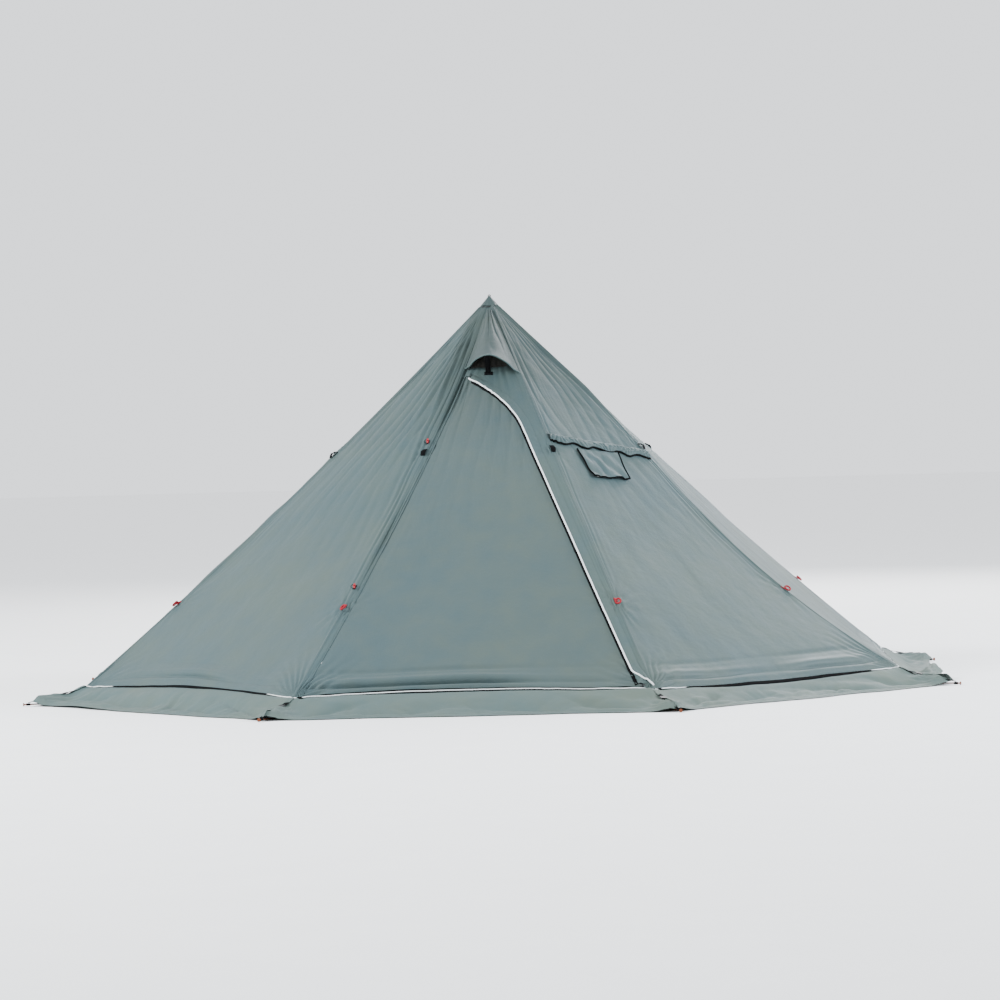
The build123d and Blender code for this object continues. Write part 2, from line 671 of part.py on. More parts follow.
# Peak: cap over the panels' ends, and the cup inside that the pole's tip sits in
with BuildPart() as peak_cap:
    with BuildSketch(Plane.XZ):
        foot_r, foot_z = CAP_FOOT
        cap = [(foot_r - CAP_WALL, foot_z), (foot_r, foot_z), (4, PEAK_HEIGHT + 8), (0, PEAK_HEIGHT + 9)]
        Polygon(*cap, (0, PEAK_HEIGHT + 6), align=None)
    revolve(axis=Axis.Z)
save(peak_cap, "peak_cap")

CUP_BORE = POLE_UPPER_R + 0.4
with BuildPart() as pole_cup:
    with BuildSketch(Plane.XZ):
        wall = CUP_BORE + CUP_WALL
        cup = [(CUP_BORE, CUP_FOOT), (wall, CUP_FOOT), (wall, CUP_FLANGE[0]), (57, CUP_FLANGE[0])]
        cup += [(54, CUP_FLANGE[1]), (wall, CUP_FLANGE[1]), (wall, CUP_TOP), (6.4, CUP_TOP)]
        cup += [(6.4, POLE_HEAD + 6.4), (CUP_BORE, POLE_HEAD + 6.4)]
        Polygon(*cup, align=None)
    revolve(axis=Axis.Z)
save(pole_cup, "pole_cup")


# Pole: two tubes that telescope, a clamp with a flip lever, a tip and a foot
def tube(low, high, radius):
    with BuildSketch(Plane.XY.offset(low)) as ring:
        Circle(radius)
        Circle(radius - POLE_WALL, mode=Mode.SUBTRACT)
    extrude(ring.sketch, amount=high - low)


with BuildPart() as pole_upper:
    tube(POLE_SPLIT[0], POLE_HEAD, POLE_UPPER_R)
save(pole_upper, "pole_upper")

with BuildPart() as pole_tip:
    with BuildSketch(Plane.XY.offset(POLE_HEAD)):
        Circle(POLE_UPPER_R)
    extrude(amount=6)
    with BuildSketch(Plane.XY.offset(POLE_HEAD + 6)):
        Circle(6)
    extrude(amount=14)
    with BuildSketch(Plane.XY.offset(POLE_HEAD)):
        Circle(POLE_UPPER_R - POLE_WALL - 0.05)
    extrude(amount=-30)
save(pole_tip, "pole_tip")

with BuildPart() as pole_lower:
    tube(FOOT_SEAT, POLE_SPLIT[1], POLE_LOWER_R)
save(pole_lower, "pole_lower")

with BuildPart() as pole_foot:
    with BuildSketch(Plane.XZ):
        bore = POLE_LOWER_R + 0.1
        socket = [(bore, FOOT_OUTLINE[-1][1]), (bore, FOOT_SEAT), (0, FOOT_SEAT)]
        Polygon((0, 0), *FOOT_OUTLINE, *socket, align=None)
    revolve(axis=Axis.Z)
save(pole_foot, "pole_foot")

EAR = 7.0
PIN_RADIUS = 2.5
with BuildPart() as clamp_collar:
    with BuildSketch(Plane.XY.offset(CLAMP_Z[0])):
        Circle(CLAMP_R)
        with Locations((CLAMP_R + 6, 0)):
            Rectangle(18, 13)
        Circle(POLE_LOWER_R + 0.1, mode=Mode.SUBTRACT)
        with Locations((LEVER_PIVOT_X, 0)):
            Circle(PIN_RADIUS + 0.05, mode=Mode.SUBTRACT)
    extrude(amount=CLAMP_Z[1] - CLAMP_Z[0])
    with BuildSketch(Plane.XY.offset(CLAMP_Z[0] + EAR)):
        with Locations((CLAMP_R + 11, 0)):
            Rectangle(20, 30)
    extrude(amount=CLAMP_Z[1] - CLAMP_Z[0] - 2 * EAR, mode=Mode.SUBTRACT)
    with BuildSketch(Plane.XY.offset(CLAMP_Z[1])):
        Circle(CLAMP_R)
        Circle(POLE_UPPER_R + 0.4, mode=Mode.SUBTRACT)
    extrude(amount=7)
    with BuildSketch(Plane.XY.offset(CLAMP_Z[1])):
        Circle(POLE_LOWER_R + 0.1)
    extrude(amount=POLE_SPLIT[1] - CLAMP_Z[1] + 0.2, mode=Mode.SUBTRACT)
save(clamp_collar, "clamp_collar")

with BuildPart() as clamp_pin:
    with BuildSketch(Plane.XY.offset(CLAMP_Z[0])):
        with Locations((LEVER_PIVOT_X, 0)):
            Circle(PIN_RADIUS)
    extrude(amount=CLAMP_Z[1] - CLAMP_Z[0])
save(clamp_pin, "clamp_pin")

with BuildPart() as clamp_lever:
    with BuildSketch(Plane.XY.offset(CLAMP_Z[0] + EAR + 1)):
        with Locations((LEVER_PIVOT_X, 0)):
            Circle(5.5)
        with Locations((LEVER_PIVOT_X, 29)):
            RectangleRounded(7, 62, 3)
        with Locations((LEVER_PIVOT_X, 0)):
            Circle(PIN_RADIUS + 0.06, mode=Mode.SUBTRACT)
    extrude(amount=CLAMP_Z[1] - CLAMP_Z[0] - 2 * EAR - 2)
save(clamp_lever, "clamp_lever")
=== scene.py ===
"""Looks of the eight-sided teepee tent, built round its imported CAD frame. Metres, +Z up.

On each panel, u runs along the hem, v runs up the slope from the hem, and t is 0 at the peak, 1 at the hem.
Ridge k lies between panel k and panel k + 1. Panel 0 holds the door and faces -Y.
"""

import math

import bmesh
import bpy
import numpy as np
from mathutils import Matrix, Vector


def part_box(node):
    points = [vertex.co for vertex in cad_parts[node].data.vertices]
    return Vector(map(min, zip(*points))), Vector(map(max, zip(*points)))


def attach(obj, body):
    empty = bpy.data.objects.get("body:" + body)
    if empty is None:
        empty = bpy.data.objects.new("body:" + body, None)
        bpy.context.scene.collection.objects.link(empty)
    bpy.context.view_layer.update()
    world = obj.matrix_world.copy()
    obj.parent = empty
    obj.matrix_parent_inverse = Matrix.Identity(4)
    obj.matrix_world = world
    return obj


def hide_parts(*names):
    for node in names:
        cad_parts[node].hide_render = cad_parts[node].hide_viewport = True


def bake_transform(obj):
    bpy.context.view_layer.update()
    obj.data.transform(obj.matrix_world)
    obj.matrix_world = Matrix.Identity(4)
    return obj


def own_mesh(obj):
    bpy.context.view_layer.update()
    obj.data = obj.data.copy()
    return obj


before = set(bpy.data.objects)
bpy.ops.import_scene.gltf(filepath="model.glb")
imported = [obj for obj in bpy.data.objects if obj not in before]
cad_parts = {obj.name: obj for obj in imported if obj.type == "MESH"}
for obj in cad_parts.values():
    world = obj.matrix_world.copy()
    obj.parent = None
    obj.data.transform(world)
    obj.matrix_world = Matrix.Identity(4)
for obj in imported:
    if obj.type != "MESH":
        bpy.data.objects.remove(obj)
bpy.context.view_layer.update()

# ---------------------------------------------------------------- the frame's shape
SIDES = 8
STEP = math.radians(360 / SIDES)
CLOTH = 0.001
rear_low, rear_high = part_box("panel_rear")
SLOPE = math.atan2(rear_high.z - rear_low.z, rear_high.y - rear_low.y)
APOTHEM = rear_high.y
HEM_Z = rear_low.z + CLOTH * math.cos(SLOPE)
HALF_SIDE = APOTHEM * math.tan(STEP / 2)
RISE = APOTHEM * math.tan(SLOPE)
PEAK_Z = HEM_Z + RISE
SLANT = APOTHEM / math.cos(SLOPE)
PANEL_TOP = 3.120

# The door's outline, the zip and the vent, as in the CAD source
DOOR_FOOT = 0.010
DOOR_TOP = 2.503
EDGE_STRIP = 0.050
ZIP_FOOT_U = 0.902
ZIP_BEND = (0.250, 2.030)
ZIP_RADIUS = 0.800
TAPE_EDGE = 0.0042
VENT = (2.570, 2.860)
VENT_HALF = (0.120, 0.045)
HOOD_V = (2.530, 3.060)
HOOD_HALF = (0.182, 0.022)
HOOD_RISE = (0.150, 0.014)
PROP_V = 2.515
JACK_CENTRE = (-0.060, 1.715)
JACK_PAD = (0.280, 0.190)
FLUE_RADIUS = 0.042
COVER_SIZE = (0.340, 0.226)
COVER_CENTRE = (-0.060, 1.713)
COVER_TILT = 7.0
AWNING_V = 1.876
AWNING_TILT = 12.0
AWNING_SPAN = (-0.370, 0.424)
UPPER_GUY = 0.41
LOWER_GUY = 0.80
TOGGLES = {"toggle_upper": 0.36, "toggle_lower": 0.73}

# How far each ridge curves in between peak and hem, and how far each hem arches up between corners
RIDGE_SAG = (0.020, 0.125, 0.070, 0.090, 0.090, 0.080, 0.060, 0.145)
SAG_SKEW = (0.25, 1.70, 0.0, 0.1, 0.1, 0.1, 0.1, -0.25)
HEM_ARCH = (0.026, -0.010, 0.030, 0.034, 0.030, 0.034, 0.036, 0.040)

# How closely each panel's curve keeps to its ridges: a higher number leaves the middle flatter
SAG_POWER = (1.8, 1.8, 1.8, 1.8, 1.8, 1.8, 1.8, 2.8)

# How strongly the cloth puckers beside each ridge: on the panel before it, and on the panel after it
RIDGE_FOLDS = (
    (0.40, 0.45),
    (1.0, 0.9),
    (1.1, 1.1),
    (1.0, 1.0),
    (1.0, 1.0),
    (1.0, 1.1),
    (1.2, 1.2),
    (1.5, 1.6),
)

# Each pucker's distance from the ridge, its width, and its share of the full depth
PUCKERS = (
    (0.026, 0.007, 1.15),
    (0.056, 0.010, 1.05),
    (0.098, 0.014, 0.60),
    (0.150, 0.019, 0.40),
    (0.215, 0.026, 0.25),
)

# How strongly each panel is gathered at the peak and folded along its hem
PEAK_PLEATS = (0.30, 0.28, 0.55, 0.60, 0.60, 0.60, 0.60, 0.42)
HEM_FOLDS = (1.9, 1.4, 0.7, 0.9, 0.8, 0.9, 1.0, 0.9)

# How deep the black band, webbing and painted shadow of the gap under the hem, hangs below each hem's middle,
# and how far the piping is tucked behind it there
BAND_DEPTH = (0.012, 0.022, 0.020, 0.020, 0.020, 0.020, 0.020, 0.014)
BAND_END = 0.008
PIPING_TUCK = (0.0, 1.0, 0.5, 0.5, 0.5, 0.5, 0.5, 0.9)


# ---------------------------------------------------------------- numbers that vary smoothly
def lattice(x, y, seed):
    """A fixed pseudo-random number in -1..1 for each whole-number place."""
    spun = np.sin(x * 127.1 + y * 311.7 + seed * 74.7) * 43758.5453
    return 2 * (spun - np.floor(spun)) - 1


def noise(x, y, seed):
    """Smooth noise in -1..1."""
    x, y = np.broadcast_arrays(np.asarray(x, float), np.asarray(y, float))
    x0, y0 = np.floor(x), np.floor(y)
    fx, fy = x - x0, y - y0
    fx, fy = fx * fx * (3 - 2 * fx), fy * fy * (3 - 2 * fy)
    low = lattice(x0, y0, seed) * (1 - fx) + lattice(x0 + 1, y0, seed) * fx
    high = lattice(x0, y0 + 1, seed) * (1 - fx) + lattice(x0 + 1, y0 + 1, seed) * fx
    return low * (1 - fy) + high * fy


def ease(x, low, high):
    """0 below low, 1 above high, smooth between."""
    share = np.clip((x - low) / (high - low), 0, 1)
    return share * share * (3 - 2 * share)


def bump(x, centre, width):
    """1 at the centre, falling smoothly to 0 on both sides."""
    return np.exp(-(((x - centre) / width) ** 2))


def pleats(x):
    """Round crests with sharp valleys between them, one pleat to each unit of x, from -1 to 1."""
    return 2 * abs(np.sin(math.pi * x)) ** 0.7 - 1


# ---------------------------------------------------------------- the canopy's surface
def outward(azimuth):
    """Level direction away from the pole."""
    return np.array([math.cos(azimuth), math.sin(azimuth), 0.0])


def panel_azimuth(index):
    """The direction a panel faces."""
    return -math.pi / 2 + STEP * index


def panel_axes(index):
    """Along the hem, up the slope, and out of the panel."""
    azimuth = panel_azimuth(index)
    across = outward(azimuth + math.pi / 2)
    normal = outward(azimuth) * math.sin(SLOPE) + np.array([0, 0, math.cos(SLOPE)])
    return across, np.cross(normal, across), normal


def ridge_u(v):
    """Half of a panel's width at a height."""
    return HALF_SIDE * (1 - v / SLANT)


def hinge_u(v):
    """The door's hinge edge, a strip's width from the ridge."""
    return EDGE_STRIP - ridge_u(v)


def zip_u(v):
    """The zip line: a straight run, then an arc to the left."""
    v = np.asarray(v, float)
    run = np.array([ZIP_BEND[0] - ZIP_FOOT_U, ZIP_BEND[1]])
    run /= np.linalg.norm(run)
    centre = (ZIP_BEND[0] - run[1] * ZIP_RADIUS, ZIP_BEND[1] + run[0] * ZIP_RADIUS)
    straight = ZIP_FOOT_U + (ZIP_BEND[0] - ZIP_FOOT_U) * v / ZIP_BEND[1]
    arc = centre[0] + np.sqrt(np.maximum(ZIP_RADIUS**2 - (v - centre[1]) ** 2, 0))
    return np.where(v <= ZIP_BEND[1], straight, arc)


def creases_round(du, dv, count, reach, depth, seed):
    """Creases that fan out from a point that pulls on the cloth."""
    r = np.hypot(du, dv)
    angle = np.arctan2(dv, du)
    waves = np.sin(count * angle + 2.2 * noise(angle * 2, r / 0.1, seed))
    return depth * waves * np.exp(-((r / reach) ** 2)) * ease(r, 0.004, 0.03)


def ridge_puckers(distance, t, strength, seed):
    """Long folds that run beside a ridge, each fading in and out along it."""
    n = 0 * distance
    for number, (centre, width, share) in enumerate(PUCKERS):
        wander = centre * (1 + 0.22 * noise(t * 4, number * 3.1, seed))
        present = np.clip(0.45 + 0.9 * noise(t * 4.5, number * 5.3, seed + 1), 0, 1.2)
        end = 0.05 * (len(PUCKERS) - 1 - number)
        reach = ease(t, 0.04, 0.16) * (1 - ease(t, 0.40 + end, 0.78 + 0.6 * end))
        depth = strength * share * present * reach
        n = n - 0.0052 * depth * bump(distance, wander, width)
        n = n + 0.0030 * depth * bump(distance, wander + 1.7 * width, 1.2 * width)
    return n - 0.010 * strength * bump(distance, 0.034, 0.013) * bump(t, 0.22, 0.13)


def folds(index, u, v):
    """How far the cloth stands out of its panel's plane through folds and creases."""
    t = 1 - v / SLANT
    half = np.maximum(HALF_SIDE * t, 1e-6)
    s = np.clip(u / half, -1, 1)
    from_left, from_right = u + half, half - u
    n = 0.008 * noise(u / 0.60, v / 0.85, 10 + index)
    n = n + 0.0045 * noise((u + 0.7 * v) / 0.75, (v - 0.7 * u) / 0.20, 20 + index)
    n = n + 0.0018 * noise(u / 0.12 + 0.5 * v, v / 0.50, 30 + index)
    n = n + 0.0006 * noise(u / 0.040, v / 0.13, 40 + index)
    fan = 4.3 * s + 1.1 * noise(s * 1.7, t * 4, 50 + index)
    gather = PEAK_PLEATS[index]
    n = n + 0.052 * gather * half * pleats(fan) * np.exp(-((t / 0.38) ** 2)) * ease(t, 0.01, 0.08)
    fine = 11 * s + 1.7 * noise(s * 3, t * 7, 60 + index)
    patchy = 0.5 + 0.5 * noise(s * 3, t * 3, 65 + index)
    n = n + 0.012 * gather * half * pleats(fine) * np.exp(-((t / 0.46) ** 2)) * patchy
    strengths = (RIDGE_FOLDS[(index - 1) % SIDES][1], RIDGE_FOLDS[index][0])
    for side, (distance, strength) in enumerate(zip((from_left, from_right), strengths)):
        n = n + ridge_puckers(distance, t, strength, 70 + 2 * index + 20 * side)
        n = n + creases_round(distance, v, 25, 0.22, 0.0055, 90 + index + side)
        for fraction, reach in ((UPPER_GUY, 0.10), (LOWER_GUY, 0.15)):
            guy_v = SLANT * (1 - fraction)
            n = n + creases_round(distance, v - guy_v, 14, reach, 0.0040, 95 + index + side)
    place = v + 0.016 * noise(u / 0.45, 0.1, 110 + index)
    patchy = np.clip(0.55 + 0.8 * noise(u / 0.42, 0.3, 120 + index), 0, 1.3)
    strength = HEM_FOLDS[index] * patchy * (1 - s**4)
    fold = bump(place, 0.094, 0.024) - 1.2 * bump(place, 0.058, 0.009) + 0.7 * bump(place, 0.030, 0.014)
    n = n + 0.013 * strength * fold - 0.006 * strength * bump(place, 0.165, 0.016)
    return n * ease(np.minimum(from_left, from_right), 0.0, 0.018)


def surface(index, u, v, lift=0.0, folded=True):
    """A point of the sewn canopy, lift metres out of its cloth."""
    u, v = np.broadcast_arrays(np.asarray(u, float), np.asarray(v, float))
    t = 1 - v / SLANT
    half = np.maximum(HALF_SIDE * t, 1e-6)
    s = np.clip(u / half, -1, 1)
    share = (s + 1) / 2
    azimuth = panel_azimuth(index)
    across, up, normal = panel_axes(index)
    point = (APOTHEM * t)[..., None] * outward(azimuth) + u[..., None] * across
    point = point + (PEAK_Z - RISE * t)[..., None] * np.array([0, 0, 1.0])
    curve = np.where(t > 1, 0, 4 * t * (1 - t))
    for weight, ridge, turn in ((1 - share, (index - 1) % SIDES, -0.5), (share, index, 0.5)):
        skew = np.maximum(1 + SAG_SKEW[ridge] * (2 * t - 1), 0.15)
        sag = weight ** SAG_POWER[index] * RIDGE_SAG[ridge] * curve * skew
        point = point - sag[..., None] * outward(azimuth + STEP * turn)
    arch = HEM_ARCH[index] * (1 - s**2) * ease(t, 0.80, 1.0)
    point = point + arch[..., None] * up
    rise = lift + (folds(index, u, v) if folded else 0)
    hollow = 0.012 * (1 - s**2) * np.clip(curve, 0, 1)
    return point + (rise - hollow)[..., None] * normal


# ---------------------------------------------------------------- mesh helpers
def mesh_object(name, points, faces, uvs=None, material=None, smooth=True):
    """An object in the scene from points, faces and cut coordinates."""
    mesh = bpy.data.meshes.new(name)
    mesh.from_pydata([tuple(p) for p in points], [], [tuple(f) for f in faces])
    mesh.update()
    if uvs is not None:
        layer = mesh.uv_layers.new(name="cut")
        loops = np.zeros(len(mesh.loops), int)
        mesh.loops.foreach_get("vertex_index", loops)
        layer.data.foreach_set("uv", np.asarray(uvs, np.float32)[loops].ravel())
    mesh.polygons.foreach_set("use_smooth", [smooth] * len(mesh.polygons))
    thing = bpy.data.objects.new(name, mesh)
    bpy.context.scene.collection.objects.link(thing)
    if material is not None:
        mesh.materials.append(material)
    return thing


def grid_faces(rows, columns, start=0, keep=None, wrap=False):
    """Quads of a grid of points, row by row. keep says which quads stay."""
    faces = []
    last = columns if wrap else columns - 1
    for r in range(rows - 1):
        for c in range(last):
            if keep is None or keep[r, c]:
                a = start + r * columns + c
                b = start + r * columns + (c + 1) % columns
                faces.append((a, b, b + columns, a + columns))
    return faces


def weld(thing, distance=0.0004):
    """Joins points that lie together."""
    working = bmesh.new()
    working.from_mesh(thing.data)
    bmesh.ops.remove_doubles(working, verts=working.verts, dist=distance)
    working.to_mesh(thing.data)
    working.free()


class Cloth:
    """Patches of one sheet, gathered before they are made into one mesh."""

    def __init__(self):
        self.points, self.uvs, self.faces = [], [], []

    def add(self, points, uvs, keep=None):
        rows, columns = points.shape[:2]
        start = sum(len(p) for p in self.points)
        self.points.append(points.reshape(-1, 3))
        self.uvs.append(np.asarray(uvs, float).reshape(-1, 2))
        self.faces += grid_faces(rows, columns, start, keep)

    def make(self, name, material, join=True):
        points, uvs = np.concatenate(self.points), np.concatenate(self.uvs)
        made = mesh_object(name, points, self.faces, uvs, material)
        if join:
            weld(made)
            made.data.polygons.foreach_set("use_smooth", [True] * len(made.data.polygons))
        return made


def sheet_object(name, points, uvs, material):
    """One sheet from a grid of points, left unwelded."""
    cloth = Cloth()
    cloth.add(points, uvs)
    return cloth.make(name, material, join=False)


def dress(piece, body, slot, *nodes):
    """Lets a piece ride a body and takes the place of its CAD nodes; slot is not used."""
    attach(piece, body)
    if nodes:
        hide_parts(*nodes)


def patch(index, left, right, heights, columns, crowd=0.0, lift=0.0):
    """Points and cut coordinates of a panel between two edges given as functions of v.

    crowd, from 0 to 1, draws the columns towards both edges, where the folds are finest.
    """
    v = np.asarray(heights, float)[:, None] * np.ones(columns)
    way = np.linspace(-1, 1, columns)[None, :]
    share = (1 + way * (1 + 0.48 * crowd * (1 - way**2))) / 2
    a, b = left(v), right(v)
    u = a + (b - a) * share
    uvs = np.stack([u + 2.2 * index, v], axis=-1)
    return surface(index, u, v, lift), uvs, u, v


def tube(points, radius, sides=8, flat=1.0, up=None):
    """Points and faces of a round or flattened rod along a line, with closed ends."""
    points = np.asarray(points, float)
    along = np.gradient(points, axis=0)
    along /= np.linalg.norm(along, axis=1)[:, None]
    guide = np.array([0, 0, 1.0]) if up is None else np.asarray(up, float)
    guide = np.broadcast_to(guide, points.shape)
    side = np.cross(along, guide)
    lengths = np.linalg.norm(side, axis=1)
    side[lengths < 1e-6] = (1, 0, 0)
    side /= np.linalg.norm(side, axis=1)[:, None]
    top = np.cross(side, along)
    angles = np.arange(sides) * 2 * math.pi / sides
    radii = np.broadcast_to(np.asarray(radius, float), (len(points),))
    ring = side[:, None, :] * np.cos(angles)[None, :, None]
    ring = ring + top[:, None, :] * (flat * np.sin(angles))[None, :, None]
    rings = points[:, None, :] + ring * radii[:, None, None]
    faces = grid_faces(len(points), sides, wrap=True)
    faces.append(tuple(reversed(range(sides))))
    faces.append(tuple(range((len(points) - 1) * sides, len(points) * sides)))
    return rings.reshape(-1, 3), faces


def join_shapes(name, shapes, material, smooth=True):
    """One mesh from several (points, faces)."""
    points, faces, start = [], [], 0
    for shape_points, shape_faces in shapes:
        points.append(shape_points)
        faces += [tuple(i + start for i in face) for face in shape_faces]
        start += len(shape_points)
    return mesh_object(name, np.concatenate(points), faces, None, material, smooth)


def ribbon(edge_a, edge_b, thickness, normal, rows=3):
    """A closed strap between two lines, with its thickness along normal."""
    edge_a, edge_b = np.asarray(edge_a, float), np.asarray(edge_b, float)
    normal = np.broadcast_to(np.asarray(normal, float), edge_a.shape)
    loop = []
    for share in np.linspace(0, 1, rows):
        loop.append(edge_a + (edge_b - edge_a) * share + normal * thickness / 2)
    for share in np.linspace(1, 0, rows):
        loop.append(edge_a + (edge_b - edge_a) * share - normal * thickness / 2)
    rings = np.stack(loop, axis=1)
    count, sides = rings.shape[:2]
    faces = grid_faces(count, sides, wrap=True)
    faces.append(tuple(reversed(range(sides))))
    faces.append(tuple(range((count - 1) * sides, count * sides)))
    return rings.reshape(-1, 3), faces


# ---------------------------------------------------------------- materials
class Nodes:
    """A material's node tree, with short ways to add to it."""

    def __init__(self, name):
        self.material = bpy.data.materials.new(name)
        self.material.use_nodes = True
        self.tree = self.material.node_tree
        self.shader = self.tree.nodes["Principled BSDF"]

    def add(self, kind, **settings):
        node = self.tree.nodes.new(kind)
        for key, value in settings.items():
            if key in node.inputs:
                node.inputs[key].default_value = value
            else:
                setattr(node, key, value)
        return node

    def link(self, source, target):
        self.tree.links.new(source, target)

    def noise(self, coordinates, scale, detail=4.0, roughness=0.55):
        node = self.add("ShaderNodeTexNoise", Scale=scale, Detail=detail, Roughness=roughness)
        self.link(coordinates, node.inputs["Vector"])
        return node.outputs["Fac"]

    def ramp(self, value, *stops):
        node = self.add("ShaderNodeValToRGB")
        elements = node.color_ramp.elements
        while len(elements) < len(stops):
            elements.new(0.5)
        for element, (place, colour) in zip(elements, stops):
            element.position = place
            element.color = (*colour, 1)
        self.link(value, node.inputs["Fac"])
        return node.outputs["Color"]

    def maths(self, operation, first, second):
        node = self.add("ShaderNodeMath", operation=operation)
        for socket, value in zip(node.inputs, (first, second)):
            if isinstance(value, (int, float)):
                socket.default_value = value
            else:
                self.link(value, socket)
        return node.outputs[0]

    def bands(self, place, direction, scale, distortion=0.0):
        node = self.add("ShaderNodeTexWave", bands_direction=direction, Scale=scale, Distortion=distortion)
        self.link(place, node.inputs["Vector"])
        return node.outputs["Fac"]

    def mix(self, blend_type, first, second):
        node = self.add("ShaderNodeMix", data_type="RGBA", blend_type=blend_type)
        node.inputs["Factor"].default_value = 1.0
        self.link(first, node.inputs["A"])
        self.link(second, node.inputs["B"])
        return node.outputs["Result"]

    def colour(self, output):
        self.link(output, self.shader.inputs["Base Color"])

    def relief(self, output):
        self.link(output, self.shader.inputs["Normal"])

    def roughness(self, value, low, high):
        """Roughness that follows a value, from low to high."""
        node = self.add("ShaderNodeMapRange")
        node.inputs["To Min"].default_value = low
        node.inputs["To Max"].default_value = high
        self.link(value, node.inputs["Value"])
        self.link(node.outputs["Result"], self.shader.inputs["Roughness"])

    def bump(self, height, distance, strength=1.0, after=None):
        node = self.add("ShaderNodeBump", Distance=distance, Strength=strength)
        self.link(height, node.inputs["Height"])
        if after is not None:
            self.link(after, node.inputs["Normal"])
        return node.outputs["Normal"]


def shade(colour, factor):
    """A lighter or darker version of a colour."""
    return tuple(min(1.0, c * factor) for c in colour)


# How the cloth's colour wanders at random, the painted shade that darkens it towards the peak, and the floor
# that keeps that painted shade light on the brighter-lit left side
COOL = (0.84, 0.94, 1.02)
WARM = (1.16, 1.07, 0.97)
PEAK_SHADE = (0.64, 0.65, 0.64)
LEFT_SHADE_FLOOR = (0.92, 0.93, 0.96)


def cloth_colour(m, colour, place, clouds, mottling):
    """Cloudy colour, with painted shade towards the peak that the brighter-lit left side is mostly spared."""
    mixed = m.maths("ADD", m.maths("MULTIPLY", clouds, 0.65), m.maths("MULTIPLY", mottling, 0.35))
    cool = tuple(c * k for c, k in zip(colour, COOL))
    warm = tuple(c * k for c, k in zip(colour, WARM))
    base = m.ramp(mixed, (0.36, cool), (0.50, colour), (0.64, warm))
    where = m.add("ShaderNodeSeparateXYZ")
    m.link(place, where.inputs["Vector"])
    height = m.maths("DIVIDE", where.outputs["Z"], PEAK_Z)
    # Painted shade: the cloth's colour is darkened towards the peak, where the gathered folds shade it
    painted_peak_shade = m.ramp(height, (0.60, (1, 1, 1)), (0.84, PEAK_SHADE))
    # On the left side, which the lights leave brighter, the painted shade goes no darker than this floor
    below = m.maths("SUBTRACT", PEAK_Z + 0.1, where.outputs["Z"])
    aside = m.maths("ADD", m.maths("DIVIDE", where.outputs["X"], below), 1.0)
    left_shade_floor = m.ramp(aside, (0.50, LEFT_SHADE_FLOOR), (0.60, (0, 0, 0)))
    m.colour(m.mix("MULTIPLY", base, m.mix("LIGHTEN", painted_peak_shade, left_shade_floor)))


def coated_nylon(name, colour, uses_cut=True, roughness=0.52):
    """Coated ripstop: a fine square grid, cloudy colour with painted shade towards the peak, and small
    crinkles.
    """
    m = Nodes(name)
    coordinates = m.add("ShaderNodeTexCoord")
    place = coordinates.outputs["Object"]
    cut = coordinates.outputs["UV"] if uses_cut else place
    mottling = m.noise(place, 9.0, 5)
    cloth_colour(m, colour, place, m.noise(place, 1.1, 3), mottling)
    lines = [m.maths("POWER", m.bands(cut, direction, 32.0), 14.0) for direction in ("X", "Y")]
    ripstop = m.maths("MAXIMUM", lines[0], lines[1])
    normal = m.bump(m.noise(place, 14.0, 6, 0.62), 0.010, 0.35)
    normal = m.bump(m.noise(cut, 900.0, 2), 0.0004, 0.35, normal)
    m.relief(m.bump(ripstop, 0.0004, 0.45, normal))
    m.roughness(mottling, roughness - 0.06, roughness + 0.12)
    m.shader.inputs["Sheen Weight"].default_value = 0.05
    m.shader.inputs["Sheen Roughness"].default_value = 0.45
    m.shader.inputs["Specular IOR Level"].default_value = 0.24
    return m.material


def woven(name, colour, pitch=520.0, roughness=0.82, depth=0.0010, gloss=0.22):
    """Webbing, tape, cord or binding: a plain weave with lighter worn threads."""
    m = Nodes(name)
    place = m.add("ShaderNodeTexCoord").outputs["Object"]
    threads = [m.bands(place, direction, pitch / 6.3, 1.2) for direction in ("X", "Z")]
    weave = m.maths("MULTIPLY", threads[0], threads[1])
    dust = m.noise(place, 60.0, 5)
    mixed = m.maths("ADD", m.maths("MULTIPLY", weave, 0.4), m.maths("MULTIPLY", dust, 0.6))
    worn = tuple(min(1.0, c * 1.35 + 0.003) for c in colour)
    m.colour(m.ramp(mixed, (0.25, shade(colour, 0.8)), (0.55, colour), (0.8, worn)))
    m.relief(m.bump(weave, depth, 0.6))
    m.shader.inputs["Roughness"].default_value = roughness
    m.shader.inputs["Specular IOR Level"].default_value = gloss
    return m.material


def moulded(name, colour, roughness=0.38):
    """Moulded plastic or rubber: a fine pebbled skin with rubbed patches."""
    m = Nodes(name)
    place = m.add("ShaderNodeTexCoord").outputs["Object"]
    rubbed = m.noise(place, 45.0, 5)
    m.colour(m.ramp(rubbed, (0.35, shade(colour, 0.85)), (0.7, shade(colour, 1.25))))
    m.relief(m.bump(m.noise(place, 1400.0, 2), 0.0002, 0.5))
    m.roughness(rubbed, roughness - 0.08, roughness + 0.15)
    return m.material


def metal(name, colour, roughness, direction="Z"):
    """Drawn or anodised metal: fine streaks along one axis and dull smudges."""
    m = Nodes(name)
    place = m.add("ShaderNodeTexCoord").outputs["Object"]
    stretch = m.add("ShaderNodeMapping")
    stretch.inputs["Scale"].default_value = (900, 900, 6) if direction == "Z" else (60, 60, 900)
    m.link(place, stretch.inputs["Vector"])
    streaks = m.noise(stretch.outputs["Vector"], 1.0, 3)
    m.colour(m.ramp(m.noise(place, 25.0, 4), (0.3, shade(colour, 0.82)), (0.7, colour)))
    m.shader.inputs["Metallic"].default_value = 1.0
    m.roughness(streaks, roughness - 0.08, roughness + 0.14)
    m.relief(m.bump(streaks, 0.0001, 0.4))
    return m.material


